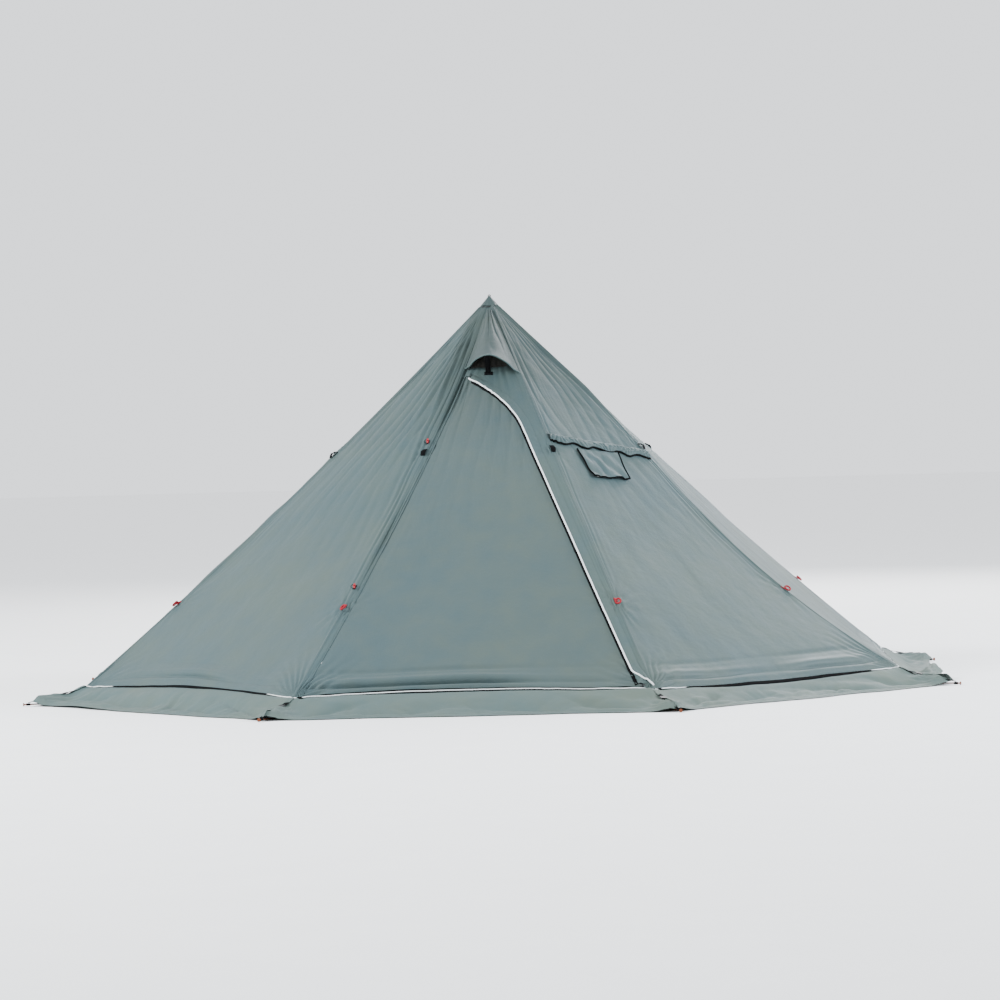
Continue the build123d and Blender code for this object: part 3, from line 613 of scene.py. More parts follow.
def insect_mesh(name):
    """Black net: a fine open grid, seen as dark cloth."""
    m = Nodes(name)
    cut = m.add("ShaderNodeTexCoord").outputs["UV"]
    lines = [m.maths("POWER", m.bands(cut, direction, 110.0), 3.0) for direction in ("X", "Y")]
    net = m.maths("MAXIMUM", lines[0], lines[1])
    m.colour(m.ramp(net, (0.1, (0.006, 0.006, 0.005)), (0.8, (0.040, 0.038, 0.030))))
    m.relief(m.bump(net, 0.0006, 0.7))
    m.shader.inputs["Roughness"].default_value = 0.9
    return m.material


def heatproof(name):
    """Silicone-coated glass cloth: pale grey, coarse twill."""
    m = Nodes(name)
    cut = m.add("ShaderNodeTexCoord").outputs["UV"]
    twill = m.bands(cut, "DIAGONAL", 110.0, 0.6)
    m.colour(m.ramp(m.noise(cut, 12.0, 5), (0.3, (0.26, 0.26, 0.25)), (0.7, (0.40, 0.40, 0.385))))
    m.relief(m.bump(twill, 0.0006, 0.6))
    m.shader.inputs["Roughness"].default_value = 0.62
    return m.material


CANOPY_COLOUR = (0.047, 0.074, 0.074)
DOOR_COLOUR = (0.048, 0.072, 0.071)
SKIRT_COLOUR = (0.069, 0.098, 0.090)
canopy_cloth = coated_nylon("canopy_cloth", CANOPY_COLOUR)
door_cloth = coated_nylon("door_cloth", DOOR_COLOUR)
skirt_cloth = coated_nylon("skirt_cloth", SKIRT_COLOUR, roughness=0.66)
seam_cloth = coated_nylon("seam_cloth", shade(CANOPY_COLOUR, 0.92), uses_cut=False)
# The hood's cloth is a darker copy of the canopy's: painted shade, as the hood faces up and would otherwise
# show too bright
shaded_hood_cloth = coated_nylon("shaded_hood_cloth", shade(CANOPY_COLOUR, 0.90))
piped_cloth = coated_nylon("piped_cloth", shade(CANOPY_COLOUR, 1.45), uses_cut=False)
white_piping = woven("white_piping", (0.74, 0.78, 0.78), 700, 0.45, 0.0004)
black_web = woven("black_web", (0.0035, 0.0036, 0.0040), roughness=0.92, gloss=0.05)
red_cord = woven("red_cord", (0.27, 0.005, 0.014), 900, 0.6)
black_plastic = moulded("black_plastic", (0.007, 0.007, 0.008))
red_plastic = moulded("red_plastic", (0.27, 0.005, 0.012), 0.34)
black_zip = moulded("black_zip", (0.006, 0.006, 0.007), 0.5)
rubber = moulded("rubber", (0.02, 0.02, 0.02), 0.75)
alloy = metal("alloy", (0.62, 0.63, 0.65), 0.34)
peg_metal = metal("peg_metal", (0.17, 0.060, 0.034), 0.42, "XY")
steel = metal("steel", (0.55, 0.55, 0.56), 0.28)
slider_metal = metal("slider_metal", (0.05, 0.05, 0.055), 0.42)
net_cloth = insect_mesh("net_cloth")
glass_cloth = heatproof("glass_cloth")

CARRIED = {
    black_web: ("corner_straps", "peg_loops"),
    black_plastic: ("ladder_locks", "clamp_collar", "clamp_lever", "pole_cup", "pole_tip"),
    alloy: ("pole_upper", "pole_lower"),
    steel: ("clamp_pin",),
    rubber: ("pole_foot",),
    slider_metal: ("zip_slider", "zip_pull"),
    peg_metal: tuple(f"peg_{number + 1}" for number in range(SIDES)),
}


def finish_carried_nodes():
    """Gives the CAD nodes that stay in view their materials."""
    for material, names in CARRIED.items():
        for name in names:
            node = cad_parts[name]
            for place in node.material_slots:
                place.material = material


# ---------------------------------------------------------------- canopy
PLAIN_PANELS = [
    "panel_front_right", "panel_right", "panel_rear_right", "panel_rear",
    "panel_rear_left", "panel_left", "panel_front_left",
]
FRONT_PIECES = ["front_strip_left", "front_strip_right", "front_crown"]


def canopy_heights():
    """Heights of the cloth's rows: closest near the hem, with the door's and vent's edges among them."""
    stops = [0.0, 0.28, ZIP_BEND[1], DOOR_TOP, VENT[0], VENT[1], PANEL_TOP]
    steps = [46, 82, 34, 6, 20, 18]
    rows = [np.linspace(a, b, n, endpoint=False) for a, b, n in zip(stops, stops[1:], steps)]
    return np.append(np.concatenate(rows), PANEL_TOP)


def make_canopy():
    """One welded shell of eight panels, cut for the door, the vent and the stove jack, and the vent's net."""
    heights = canopy_heights()
    cloth = Cloth()
    for index in range(1, SIDES):
        points, uvs, u, v = patch(index, lambda h: -ridge_u(h), ridge_u, heights, 141, 0.9)
        keep = None
        if index == 1:
            middle_u = (u[:-1, :-1] + u[1:, 1:]) / 2 - JACK_CENTRE[0]
            middle_v = (v[:-1, :-1] + v[1:, 1:]) / 2 - JACK_CENTRE[1]
            inside = (abs(middle_u) < JACK_PAD[0] / 2 - 0.012) & (abs(middle_v) < JACK_PAD[1] / 2 - 0.012)
            keep = ~inside
        cloth.add(points, uvs, keep)
    low = heights[heights <= DOOR_TOP + 1e-9]
    band = heights[(heights >= DOOR_TOP - 1e-9) & (heights <= VENT[0] + 1e-9)]
    beside = heights[(heights >= VENT[0] - 1e-9) & (heights <= VENT[1] + 1e-9)]
    top = heights[heights >= VENT[1] - 1e-9]

    def vent_half(h):
        return VENT_HALF[0] + (VENT_HALF[1] - VENT_HALF[0]) * (h - VENT[0]) / (VENT[1] - VENT[0])

    for left, right, rows, columns in (
        (lambda h: -ridge_u(h), hinge_u, low, 15),
        (lambda h: zip_u(h) + TAPE_EDGE, ridge_u, low, 45),
        (lambda h: -ridge_u(h), ridge_u, band, 49),
        (lambda h: -ridge_u(h), lambda h: -vent_half(h), beside, 17),
        (vent_half, ridge_u, beside, 17),
        (lambda h: -ridge_u(h), ridge_u, top, 33),
    ):
        points, uvs, _, _ = patch(0, left, right, rows, columns)
        cloth.add(points, uvs)
    shell = cloth.make("canopy_shell", canopy_cloth)
    dress(shell, "canopy", "canopy_cloth", *PLAIN_PANELS, *FRONT_PIECES)

    net = Cloth()
    points, uvs, _, _ = patch(0, lambda h: -vent_half(h), vent_half, beside, 25)
    net.add(points, uvs)
    net = net.make("vent_net", net_cloth)
    dress(net, "canopy", "mesh", "vent_mesh")
    return shell


def ridge_line(ridge, heights, lift=0.0, aside=0.0):
    """Points along a ridge; aside moves them onto the panel before it (negative) or after it."""
    heights = np.asarray(heights, float)
    if aside < 0:
        return surface(ridge, ridge_u(heights) + aside, heights, lift)
    return surface((ridge + 1) % SIDES, aside - ridge_u(heights), heights, lift)


# Each lane of a seam: how far to the side of the ridge, and how far off the cloth
SEAM_PROFILE = (
    (-0.009, 0.0003),
    (-0.007, 0.0018),
    (-0.003, 0.0024),
    (0.003, 0.0024),
    (0.007, 0.0018),
    (0.009, 0.0003),
)


def make_seams():
    """Felled seams over the ridges, and a rolled seam along the door's hinge edge with a thinner roll beside
    it.
    """
    heights = np.linspace(0.004, 3.10, 190)
    shapes = []
    for ridge in range(SIDES):
        lanes = [ridge_line(ridge, heights, lift, aside) for aside, lift in SEAM_PROFILE]
        rings = np.stack(lanes, axis=1)
        shapes.append((rings.reshape(-1, 3), grid_faces(len(heights), len(lanes))))
    seams = join_shapes("ridge_seams", shapes, seam_cloth)
    dress(seams, "canopy", "ridge_tape", "ridge_tapes")

    heights = np.linspace(DOOR_FOOT, DOOR_TOP - 0.01, 150)
    rolls = []
    for aside, radius in ((-0.004, 0.0036), (-0.015, 0.0016)):
        thickness = radius * (1 + 0.25 * noise(heights * 9, 0, 7)) * (0.35 + 0.65 * ease(heights, 0.5, 1.4))
        line = surface(0, hinge_u(heights) + aside, heights, thickness * 0.7)
        rolls.append(tube(line, thickness, 8))
    roll = join_shapes("door_hinge_seam", rolls, seam_cloth)
    dress(roll, "canopy", "canopy_cloth")


def band_foot(index, u):
    """Height of the black hem band's lower edge, which hangs deepest in the middle of the hem, where the
    painted shadow of the gap under the arched hem is widest.
    """
    middle = 1 - (u / HALF_SIDE) ** 2
    return -BAND_END - BAND_DEPTH[index] * middle - 0.004 * noise(u * 3, 0, 130 + index)


def make_hem():
    """White piping along the hem, tucked under it in places, and a black band below it that stands for the
    webbing and for the shadow in the gap under the hem.
    """
    cords, bands = [], []
    for index in range(SIDES):
        u = np.linspace(-HALF_SIDE + 0.004, HALF_SIDE - 0.004, 90)
        tucked = PIPING_TUCK[index] * (1 - ease(abs(u) / HALF_SIDE, 0.62, 0.90))
        cords.append(tube(surface(index, u, 0 * u - 0.003, 0.0024 - 0.010 * tucked), 0.0031, 8))
        top = surface(index, u, 0 * u - 0.0005, -0.001)
        # The band's depth follows the painted shadow of the gap under the arched hem: deepest in the middle,
        # thin at the corners
        foot = surface(index, u, band_foot(index, u), -0.001)
        bands.append(ribbon(top, foot, 0.002, panel_axes(index)[2]))
    cord = join_shapes("hem_piping_cord", cords, white_piping)
    dress(cord, "canopy", "piping", "hem_piping")
    band = join_shapes("hem_band_and_shadow", bands, black_web)
    dress(band, "canopy", "black_webbing", "hem_webbing")


# ---------------------------------------------------------------- door and zip
def make_door():
    """The door's cloth between its hinge edge and the zip, which takes the place of the CAD door panel."""
    stops = np.concatenate([np.linspace(DOOR_FOOT, 0.28, 44, endpoint=False),
                            np.linspace(0.28, ZIP_BEND[1], 82, endpoint=False),
                            np.linspace(ZIP_BEND[1], DOOR_TOP - 0.004, 34)])
    left, right = (lambda h: hinge_u(h) + 0.001), (lambda h: zip_u(h) - TAPE_EDGE)
    points, uvs, _, _ = patch(0, left, right, stops, 131, 0.8)
    door = sheet_object("door_cloth", points, uvs, door_cloth)
    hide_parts("door_panel")
    across, up, _ = panel_axes(0)
    along_hinge = (across * (hinge_u(DOOR_TOP) - hinge_u(0)) + up * DOOR_TOP)
    along_hinge /= np.linalg.norm(along_hinge)
    inward = across - along_hinge * (across @ along_hinge)
    inward /= np.linalg.norm(inward)
    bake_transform(door)
    width = float(zip_u(0) - hinge_u(0))


def zip_line(offset, heights, lift, folded=True):
    """Points beside the zip line, offset to the right of it, square to its run."""
    heights = np.asarray(heights, float)
    step = 0.004
    lean = (zip_u(heights + step) - zip_u(heights - step)) / (2 * step)
    length = np.hypot(lean, 1)
    return surface(0, zip_u(heights) + offset / length, heights - offset * lean / length, lift, folded)


def zip_heights(foot, top, count):
    """Heights spread evenly along the zip's length, so that they crowd where it turns."""
    fine = np.linspace(foot, top, 2000)
    way = np.concatenate([[0], np.cumsum(np.hypot(np.diff(zip_u(fine)), np.diff(fine)))])
    return np.interp(np.linspace(0, way[-1], count), way, fine)


def zip_strap(heights, left, right, thickness):
    """A strap along the zip between two edges, each given as its offset and its lift."""
    edges = [zip_line(offset, heights, lift) for offset, lift in (left, right)]
    return ribbon(edges[0], edges[1], thickness, panel_axes(0)[2])


def make_zip():
    """Tape and teeth on each side of the zip line."""
    heights = zip_heights(DOOR_FOOT, DOOR_TOP - 0.012, 170)
    teeth = zip_heights(DOOR_FOOT + 0.001, DOOR_TOP - 0.014, 520)
    thickness = 0.0013 + 0.0005 * (np.arange(len(teeth)) % 2)
    for body, side in (("canopy", 1), ("door", -1)):
        tape = zip_strap(heights, (side * 0.0008, 0.0), (side * 0.014, 0.0), 0.0012)
        coil = tube(zip_line(side * 0.0022, teeth, 0.0009), thickness, 6)
        chain = join_shapes(f"zip_chain_{body}", [tape, coil], black_zip)
        dress(chain, body, "zip_coil", f"zip_coil_{body}")


# Across the storm flap: how far each lane lies to the right of the zip line, and how far off the cloth
FLAP_PROFILE = (
    (-0.019, 0.0085),
    (-0.010, 0.0105),
    (0.002, 0.0100),
    (0.014, 0.0078),
    (0.024, 0.0040),
    (0.032, 0.0012),
)


def flap_ripple(share):
    """How the flap's free edge wanders along its length, most of all near its top end."""
    return 0.008 * np.sin(share * 250) * ease(share, 0.88, 0.95) + 0.0022 * noise(share * 34, 0, 5)


def make_storm_flap():
    """The flap over the zip, with a white corded edge, closure tabs, a black strip of painted shadow beside
    the edge and a rippled top end.
    """
    heights = zip_heights(0.030, DOOR_TOP - 0.010, 180)
    share = np.linspace(0, 1, len(heights))
    ripple = flap_ripple(share)
    lanes, uvs = [], []
    for offset, lift in FLAP_PROFILE:
        loose = 1 - (offset + 0.019) / 0.051
        lanes.append(zip_line(offset, heights + ripple * loose, lift + abs(ripple) * loose))
        uvs.append(np.stack([np.full(len(heights), offset), share * 2.9], axis=-1))
    flap = sheet_object("storm_flap_cloth", np.stack(lanes, axis=1), np.stack(uvs, axis=1), canopy_cloth)
    dress(flap, "door", "canopy_cloth", "storm_flap")

    heights = zip_heights(0.006, DOOR_TOP - 0.010, 190)
    ripple = flap_ripple(np.linspace(0, 1, len(heights)))
    foot_turn = 0.078 * (1 - ease(heights, 0.006, 0.150)) ** 1.3
    line = zip_line(-0.0215 + foot_turn, heights + ripple, 0.0085)
    line = line + abs(ripple)[:, None] * panel_axes(0)[2]
    cord = join_shapes("flap_piping_cord", [tube(line, 0.0049, 8)], white_piping)
    dress(cord, "door", "piping", "flap_piping")

    tabs = []
    for height, length in ((0.105, 0.056), (1.025, 0.036), (1.705, 0.036)):
        spots = np.linspace(height, height + length, 6)
        tabs.append(zip_strap(spots, (-0.038, 0.003), (-0.018, 0.007), 0.003))
    # A thin black strip along the whole zip, just left of the piping: painted shadow under the flap's corded
    # edge
    under = zip_heights(0.030, DOOR_TOP - 0.03, 150)
    tabs.append(zip_strap(under, (-0.0375, 0.0022), (-0.020, 0.0045), 0.0014))
    tab = join_shapes("flap_tabs_and_shadow_strip", tabs, black_web)
    dress(tab, "door", "black_webbing", "flap_tabs")


# ---------------------------------------------------------------- vent hood
def make_hood():
    """The arched hood over the vent with its bound brim."""
    rows, columns = 44, 61
    share = np.linspace(0, 1, rows)[:, None]
    x = np.linspace(-1, 1, columns)[None, :]
    v = HOOD_V[0] + (HOOD_V[1] - HOOD_V[0]) * share
    half = HOOD_HALF[0] + (HOOD_HALF[1] - HOOD_HALF[0]) * share
    rise = HOOD_RISE[0] + (HOOD_RISE[1] - HOOD_RISE[0]) * share**0.85
    arch = (1 - abs(x) ** 1.75) ** 1.05
    fluting = pleats(x * 1.9 + 0.5 * share + 0.4 * noise(x * 2, share * 3, 3))
    flutes = 0.0050 * fluting * (1 - abs(x) ** 6) * ease(share, 0, 0.4)
    crease = -0.010 * bump(abs(x), 0.80, 0.10) * (1 - share)
    lift = rise * arch * 0.97 + flutes + crease + 0.004
    u = half * x + 0.018 * (1 - share)
    brim_dip = 0.012 * (1 - x**2) * (1 - share) + 0.026 * x * (1 - share)
    points = surface(0, u, v - brim_dip, 0.0, False) + lift[..., None] * panel_axes(0)[2]
    uvs = np.stack(np.broadcast_arrays(u, v), axis=-1)
    hood = sheet_object("shaded_hood_cloth", points, uvs, shaded_hood_cloth)
    dress(hood, "canopy", "canopy_cloth", "vent_hood")
    binding = join_shapes("hood_binding", [tube(points[0], 0.0048, 8)], piped_cloth)
    dress(binding, "canopy", "canopy_cloth", "hood_brim")
    for piece in (hood, binding):
        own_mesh(piece)


def make_prop():
    """The stiff strap that props the hood up, and the pocket that holds its foot."""
    low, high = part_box("hood_prop")
    across, up, normal = panel_axes(0)
    foot = surface(0, 0.0, PROP_V, 0.001, False)
    length = (high.z - low.z) / normal[2] - 0.004
    way = np.linspace(0, length, 24)
    middle = foot + way[:, None] * normal + (0.003 * np.sin(way / length * math.pi))[:, None] * up
    strap = [ribbon(middle - across * 0.016, middle + across * 0.016, 0.004, up)]
    for edge in (-0.012, 0.012):
        strap.append(tube(middle + across * edge - up * 0.0024, 0.0006, 6))
    strap = join_shapes("prop_strap", strap, black_web)
    dress(strap, "prop", "black_webbing", "hood_prop")

    spots = np.linspace(-0.028, 0.028, 9)
    edges = [surface(0, spots, PROP_V + shift, 0.003) for shift in (-0.012, 0.014)]
    pocket = ribbon(edges[0], edges[1], 0.004, normal)
    pocket = join_shapes("prop_patch", [pocket], black_web)
    dress(pocket, "canopy", "black_webbing", "prop_pocket")


# ---------------------------------------------------------------- stove jack
def make_jack():
    """The stove jack's heat-proof pad with its round flue port, and the stitching round both."""
    normal = panel_axes(1)[2]
    rings = []
    for radius_share in np.linspace(0, 1, 14):
        angles = np.linspace(0, 2 * math.pi, 97)[:-1]
        direction = np.stack([np.cos(angles), np.sin(angles)], axis=-1)
        square = np.max(abs(direction) / (np.array(JACK_PAD) / 2), axis=-1)
        radius = FLUE_RADIUS + (1 / square - FLUE_RADIUS) * radius_share
        rings.append(np.array(JACK_CENTRE) + radius[:, None] * direction)
    flat = np.stack(rings)
    top = surface(1, flat[..., 0], flat[..., 1], 0.0028)
    under = surface(1, flat[::-1, :, 0], flat[::-1, :, 1], 0.0012)
    points = np.concatenate([top, under])
    faces = grid_faces(len(points), points.shape[1], wrap=True)
    last = (len(points) - 1) * points.shape[1]
    for c in range(points.shape[1]):
        after = (c + 1) % points.shape[1]
        faces.append((last + c, last + after, after, c))
    uvs = np.concatenate([flat, flat[::-1]]).reshape(-1, 2)
    pad = mesh_object("jack_pad_cloth", points.reshape(-1, 3), faces, uvs, glass_cloth)
    dress(pad, "canopy", "heatproof", "jack_pad")
    stitches = []
    for inset in (0.008, 0.014):
        loop = flat[-1] + (np.array(JACK_CENTRE) - flat[-1]) * inset / 0.11
        loop = np.concatenate([loop, loop[:2]])
        stitches.append(tube(surface(1, loop[:, 0], loop[:, 1], 0.0032), 0.0006, 5, up=normal))
    ring_angles = np.linspace(0, 2 * math.pi, 73)
    for radius in (0.050, 0.056):
        u = JACK_CENTRE[0] + radius * np.cos(ring_angles)
        v = JACK_CENTRE[1] + radius * np.sin(ring_angles)
        stitches.append(tube(surface(1, u, v, 0.0032), 0.0006, 5, up=normal))
    stitching = join_shapes("jack_stitching", stitches, black_web)
    dress(stitching, "canopy", "black_webbing")


def tilted(centre, degrees, along, down):
    """u and v of a point measured along and down from a centre, on axes turned clockwise."""
    turn = math.radians(degrees)
    u = centre[0] + along * math.cos(turn) - down * math.sin(turn)
    v = centre[1] - along * math.sin(turn) - down * math.cos(turn)
    return u, v


def make_jack_cover():
    """The rain flap over the flue port: it hangs a little skewed, with bound edges and slanting folds."""
    normal = panel_axes(1)[2]
    rows, columns = 34, 45
    down = np.linspace(0, 1, rows)[:, None]
    x = np.linspace(-1, 1, columns)[None, :]
    along = x * COVER_SIZE[0] / 2 * (1 - 0.10 * down) - 0.012 * down
    drop = down * COVER_SIZE[1] * (1 - 0.03 * x) - COVER_SIZE[1] / 2
    u, v = tilted(COVER_CENTRE, COVER_TILT, along, drop)
    waves = np.sin(9 * (x - 0.9 * down) + 1.4 * noise(x * 2, down * 2, 8))
    lift = 0.010 + 0.0045 * waves * ease(down, 0.0, 0.35) * (1 - 0.5 * x**2)
    lift = lift + 0.005 * ease(down, 0.8, 1.0) * (1 + np.sin(x * 5))
    points = surface(1, u, v, 0.0) + lift[..., None] * normal
    cover = sheet_object("jack_cover_cloth", points, np.stack([u, v], axis=-1), canopy_cloth)
    dress(cover, "cover", "canopy_cloth", "jack_cover")
    edge = np.concatenate([points[:, 0], points[-1, 1:], points[-2::-1, -1]])
    bound = join_shapes("cover_edge", [tube(edge, 0.0050, 8, up=normal)], black_web)
    dress(bound, "cover", "black_webbing", "cover_binding")


def make_awning():
    """The gathered awning over the stove jack, from ridge to ridge, with a wavy bound lower edge."""
    normal = panel_axes(1)[2]
    columns, rows = 260, 17
    way = np.linspace(AWNING_SPAN[0], AWNING_SPAN[1], columns)[:, None]
    share = np.linspace(0, 1, rows)[None, :]
    gathers = pleats(way * 31 + 2.4 * noise(way * 8, share * 2.2, 14))
    bunch = 0.7 * gathers + 0.7 * noise(way * 61, share * 5, 15)
    hump = np.sin(share * math.pi) ** 0.7
    scallop = 0.011 * np.sin(way * 38 + 1.6 * noise(way * 9, 0, 16))
    down = share * (0.072 + scallop) - 0.036 + 0.003 * bunch * hump
    aside = 0.008 * noise(way * 15, share * 3, 17)
    u, v = tilted((0.0, AWNING_V), AWNING_TILT, way + aside, down)
    lift = 0.003 + (0.013 + 0.0042 * bunch) * hump
    points = surface(1, u, v, 0.0) + lift[..., None] * normal
    uvs = np.stack(np.broadcast_arrays(way, share * 0.12), axis=-1)
    awning = sheet_object("jack_awning_cloth", points, uvs, canopy_cloth)
    dress(awning, "canopy", "canopy_cloth", "jack_awning")
    edge = points[:, -1] + normal * 0.004
    trim = join_shapes("awning_edge", [tube(edge, 0.0056, 8, up=normal)], black_web)
    dress(trim, "canopy", "black_webbing", "awning_binding")


def make_peak():
    """A cloth cap sewn over the panels' ends, with a small loop at its tip."""
    rings, sides = 12, 96
    share = np.linspace(0, 1, rings)[:, None]
    angles = (np.arange(sides) * 2 * math.pi / sides)[None, :]
    corners = abs(np.sin(SIDES / 2 * (angles - STEP / 2)))
    low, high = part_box("peak_cap")
    flutes = 0.008 * (1 + np.sin(angles * 16 + 3 * share)) * (1 - share)
    radius = (high.x - 0.0095) * (1 - 0.93 * share) * (1 - 0.06 * (1 - corners) - flutes)
    z = low.z - 0.003 + (high.z - low.z - 0.001) * share + 0.001 * np.sin(angles * 5) * (1 - share)
    points = np.stack(np.broadcast_arrays(radius * np.cos(angles), radius * np.sin(angles), z), axis=-1)
    faces = grid_faces(rings, sides, wrap=True)
    faces.append(tuple(range((rings - 1) * sides, rings * sides)))
    cap = mesh_object("peak_cap_cloth", points.reshape(-1, 3), faces, None, seam_cloth)
    dress(cap, "canopy", "canopy_cloth", "peak_cap")
    turn = np.linspace(0, 2 * math.pi, 25)
    loop = np.stack([0.007 * np.cos(turn), 0 * turn, high.z - 0.004 + 0.006 * np.sin(turn)], axis=-1)
    tip = join_shapes("peak_loop", [tube(loop, 0.0022, 6, up=(0, 1, 0))], black_web)
    dress(tip, "canopy", "black_webbing")


# ---------------------------------------------------------------- snow skirt
SKIRT_EDGE = 2.585
SKIRT_CORNER = 2.850

# How high each skirt segment is bunched up near its first corner
SKIRT_LUMP = (0.0, 0.0, 0.085, 0.010, 0.0, 0.015, 0.0, 0.020)


def make_skirt():
    """Eight gathered skirt segments from the hem out to the pegs, dragged towards the corners."""
    rows, columns = 34, 150
    for index in range(SIDES):
        azimuth = panel_azimuth(index)
        across = outward(azimuth + math.pi / 2)
        p = np.linspace(0, 1, rows)[:, None]
        q = np.linspace(-1, 1, columns)[None, :] * np.ones_like(p)
        corner = abs(q) ** 10
        near = APOTHEM + 0.006
        edge = SKIRT_EDGE + 0.024 * noise(q * 4, 0.2, 200 + index) + 0.005 * noise(q * 9, 0.7, 210 + index)
        out = near + (edge - near) * p
        half = out * math.tan(STEP / 2)
        calm = 1 - 0.85 * abs(q) ** 10
        along = q * (half + 0.012) + 0.026 * p * noise(q * 6, p * 2, 220 + index) * calm
        top_u = np.clip(along, -HALF_SIDE, HALF_SIDE)[0]
        hem = surface(index, top_u, band_foot(index, top_u) + 0.006, -0.004)
        hem_z = hem[:, 2][None, :]
        fall = 1 - ease(p, 0.0, 0.66) ** 0.9
        slack = 0.35 + 0.65 * noise(q * 4, p * 1.4, 230 + index) + 0.5 * abs(q) ** 5
        slant = 2.0 * p * noise(q * 2.2, 0.5, 240 + index) + 0.5 * noise(q * 6, p * 3, 250 + index)
        gathers = pleats(along * 5.5 + slant) + 0.4 * pleats(along * 14 + 2 * slant)
        inside = np.sin(np.clip(p * 1.02, 0, 1) * math.pi) ** 0.7 * ease(p, 0.02, 0.40)
        height = hem_z * fall + 0.0035 + 0.0085 * np.maximum(slack, 0.15) * (gathers + 0.5) * inside * calm
        for distance, seed in ((half + along, 280), (half - along, 290)):
            run = np.maximum(distance, 0)
            steepness = np.log(np.arctan2(0.02 + 0.30 * (1 - p), 0.10 + run))
            drag = pleats(1.15 * steepness + 0.35 * noise(q * 3, p, seed + index))
            height = height + 0.014 * drag * ease(run, 0.05, 0.30) * np.exp(-((run / 0.95) ** 2)) * inside
        height = height + 0.014 * np.maximum(noise(q * 7, p * 4, 260 + index), 0) * inside * calm
        height = height + SKIRT_LUMP[index] * bump(q, -0.58, 0.24) * bump(p, 0.80, 0.24)
        beside = np.maximum(half - abs(along), 0)
        angle = np.arctan2(beside, 0.02 + 0.30 * (1 - p))
        rays = pleats(3.2 * angle + 0.6 * noise(q * 9, p * 2, 270 + index))
        over_peg = bump(beside, 0.0, 0.085) * ease(p, 0.25, 0.60)
        tip = 1 - 0.62 * ease(p, 0.86, 1.0)
        height = np.maximum(height, 0.0015) + (0.044 + 0.010 * rays) * over_peg * tip
        out = out + (SKIRT_CORNER * math.cos(STEP / 2) - SKIRT_EDGE) * corner * p**2 * 0.55
        side_lift = 0.004 * (q < 0) * ease(abs(q), 0.93, 1.0)
        height = height + side_lift
        hem_shift = (hem @ outward(azimuth))[None, :] - near
        out = out + hem_shift * (1 - ease(p, 0, 0.3))
        points = out[..., None] * outward(azimuth) + along[..., None] * across
        points[..., 2] = np.where(p < 1e-9, hem_z, height)
        uvs = np.stack(np.broadcast_arrays(along + 3 * index, p * 0.30), axis=-1)
        skirt = sheet_object(f"skirt_{index + 1}", points, uvs, skirt_cloth)
        dress(skirt, "canopy", "skirt_cloth", "snow_skirt")


# ---------------------------------------------------------------- guy points and toggles
def ridge_strap(ridge, heights, lift, half, thickness):
    """A strap that lies along a ridge."""
    edges = [ridge_line(ridge, heights, lift, aside) for aside in (-half, half)]
    return ribbon(edges[0], edges[1], thickness, panel_axes(ridge)[2])


def make_guy_points():
    """A black tab high on each ridge and a red loop low on it."""
    tabs, loops = [], []
    for ridge in range(SIDES):
        top = SLANT * (1 - UPPER_GUY)
        way = np.linspace(0, 1, 12)
        heights = top - 0.055 * way
        lift = 0.004 + 0.010 * np.sin(way * math.pi) ** 0.8 + 0.004 * way
        tabs.append(ridge_strap(ridge, heights, lift, 0.011, 0.0026))
        low = SLANT * (1 - LOWER_GUY)
        angles = np.linspace(0, 2 * math.pi, 25)[:-1]
        centre = ridge_line(ridge, np.array([low]), 0.014, 0.0)[0]
        along = ridge_line(ridge, np.array([low + 0.05]), 0.014, 0.0)[0] - centre
        along /= np.linalg.norm(along)
        azimuth = panel_azimuth(ridge) + STEP / 2
        side = outward(azimuth + math.pi / 2)
        out = np.cross(side, along)
        ring = centre + 0.017 * np.cos(angles)[:, None] * along + 0.013 * np.sin(angles)[:, None] * side
        ring = ring + (0.006 * np.sin(angles))[:, None] * out
        ring = np.concatenate([ring, ring[:1]])
        loops.append(tube(ring, 0.0048, 8, up=out))
        heights = low + 0.030 - 0.026 * way
        loops.append(ridge_strap(ridge, heights, 0.005, 0.010, 0.004))
    for name, shapes, material, node, slot in (
        ("guy_tab_set", tabs, black_web, "upper_guy_tabs", "black_webbing"),
        ("guy_loop_set", loops, red_cord, "lower_guy_loops", "red_cord"),
    ):
        piece = join_shapes(name, shapes, material)
        dress(piece, "canopy", slot, node)


def seat_below(place, direction, ridge, height):
    """Where a line meets the cloth beside a ridge: the height up the slope and the distance aside."""
    best = None
    for aside in np.linspace(-0.120, 0.040, 161):
        heights = height + np.linspace(-0.16, 0.16, 161)
        offset = ridge_line(ridge, heights, 0.0, aside) - place
        gap = np.linalg.norm(offset - (offset @ direction)[:, None] * direction, axis=1)
        nearest = int(gap.argmin())
        if best is None or gap[nearest] < best[0]:
            best = (gap[nearest], float(heights[nearest]), float(aside))
    return best[1:]


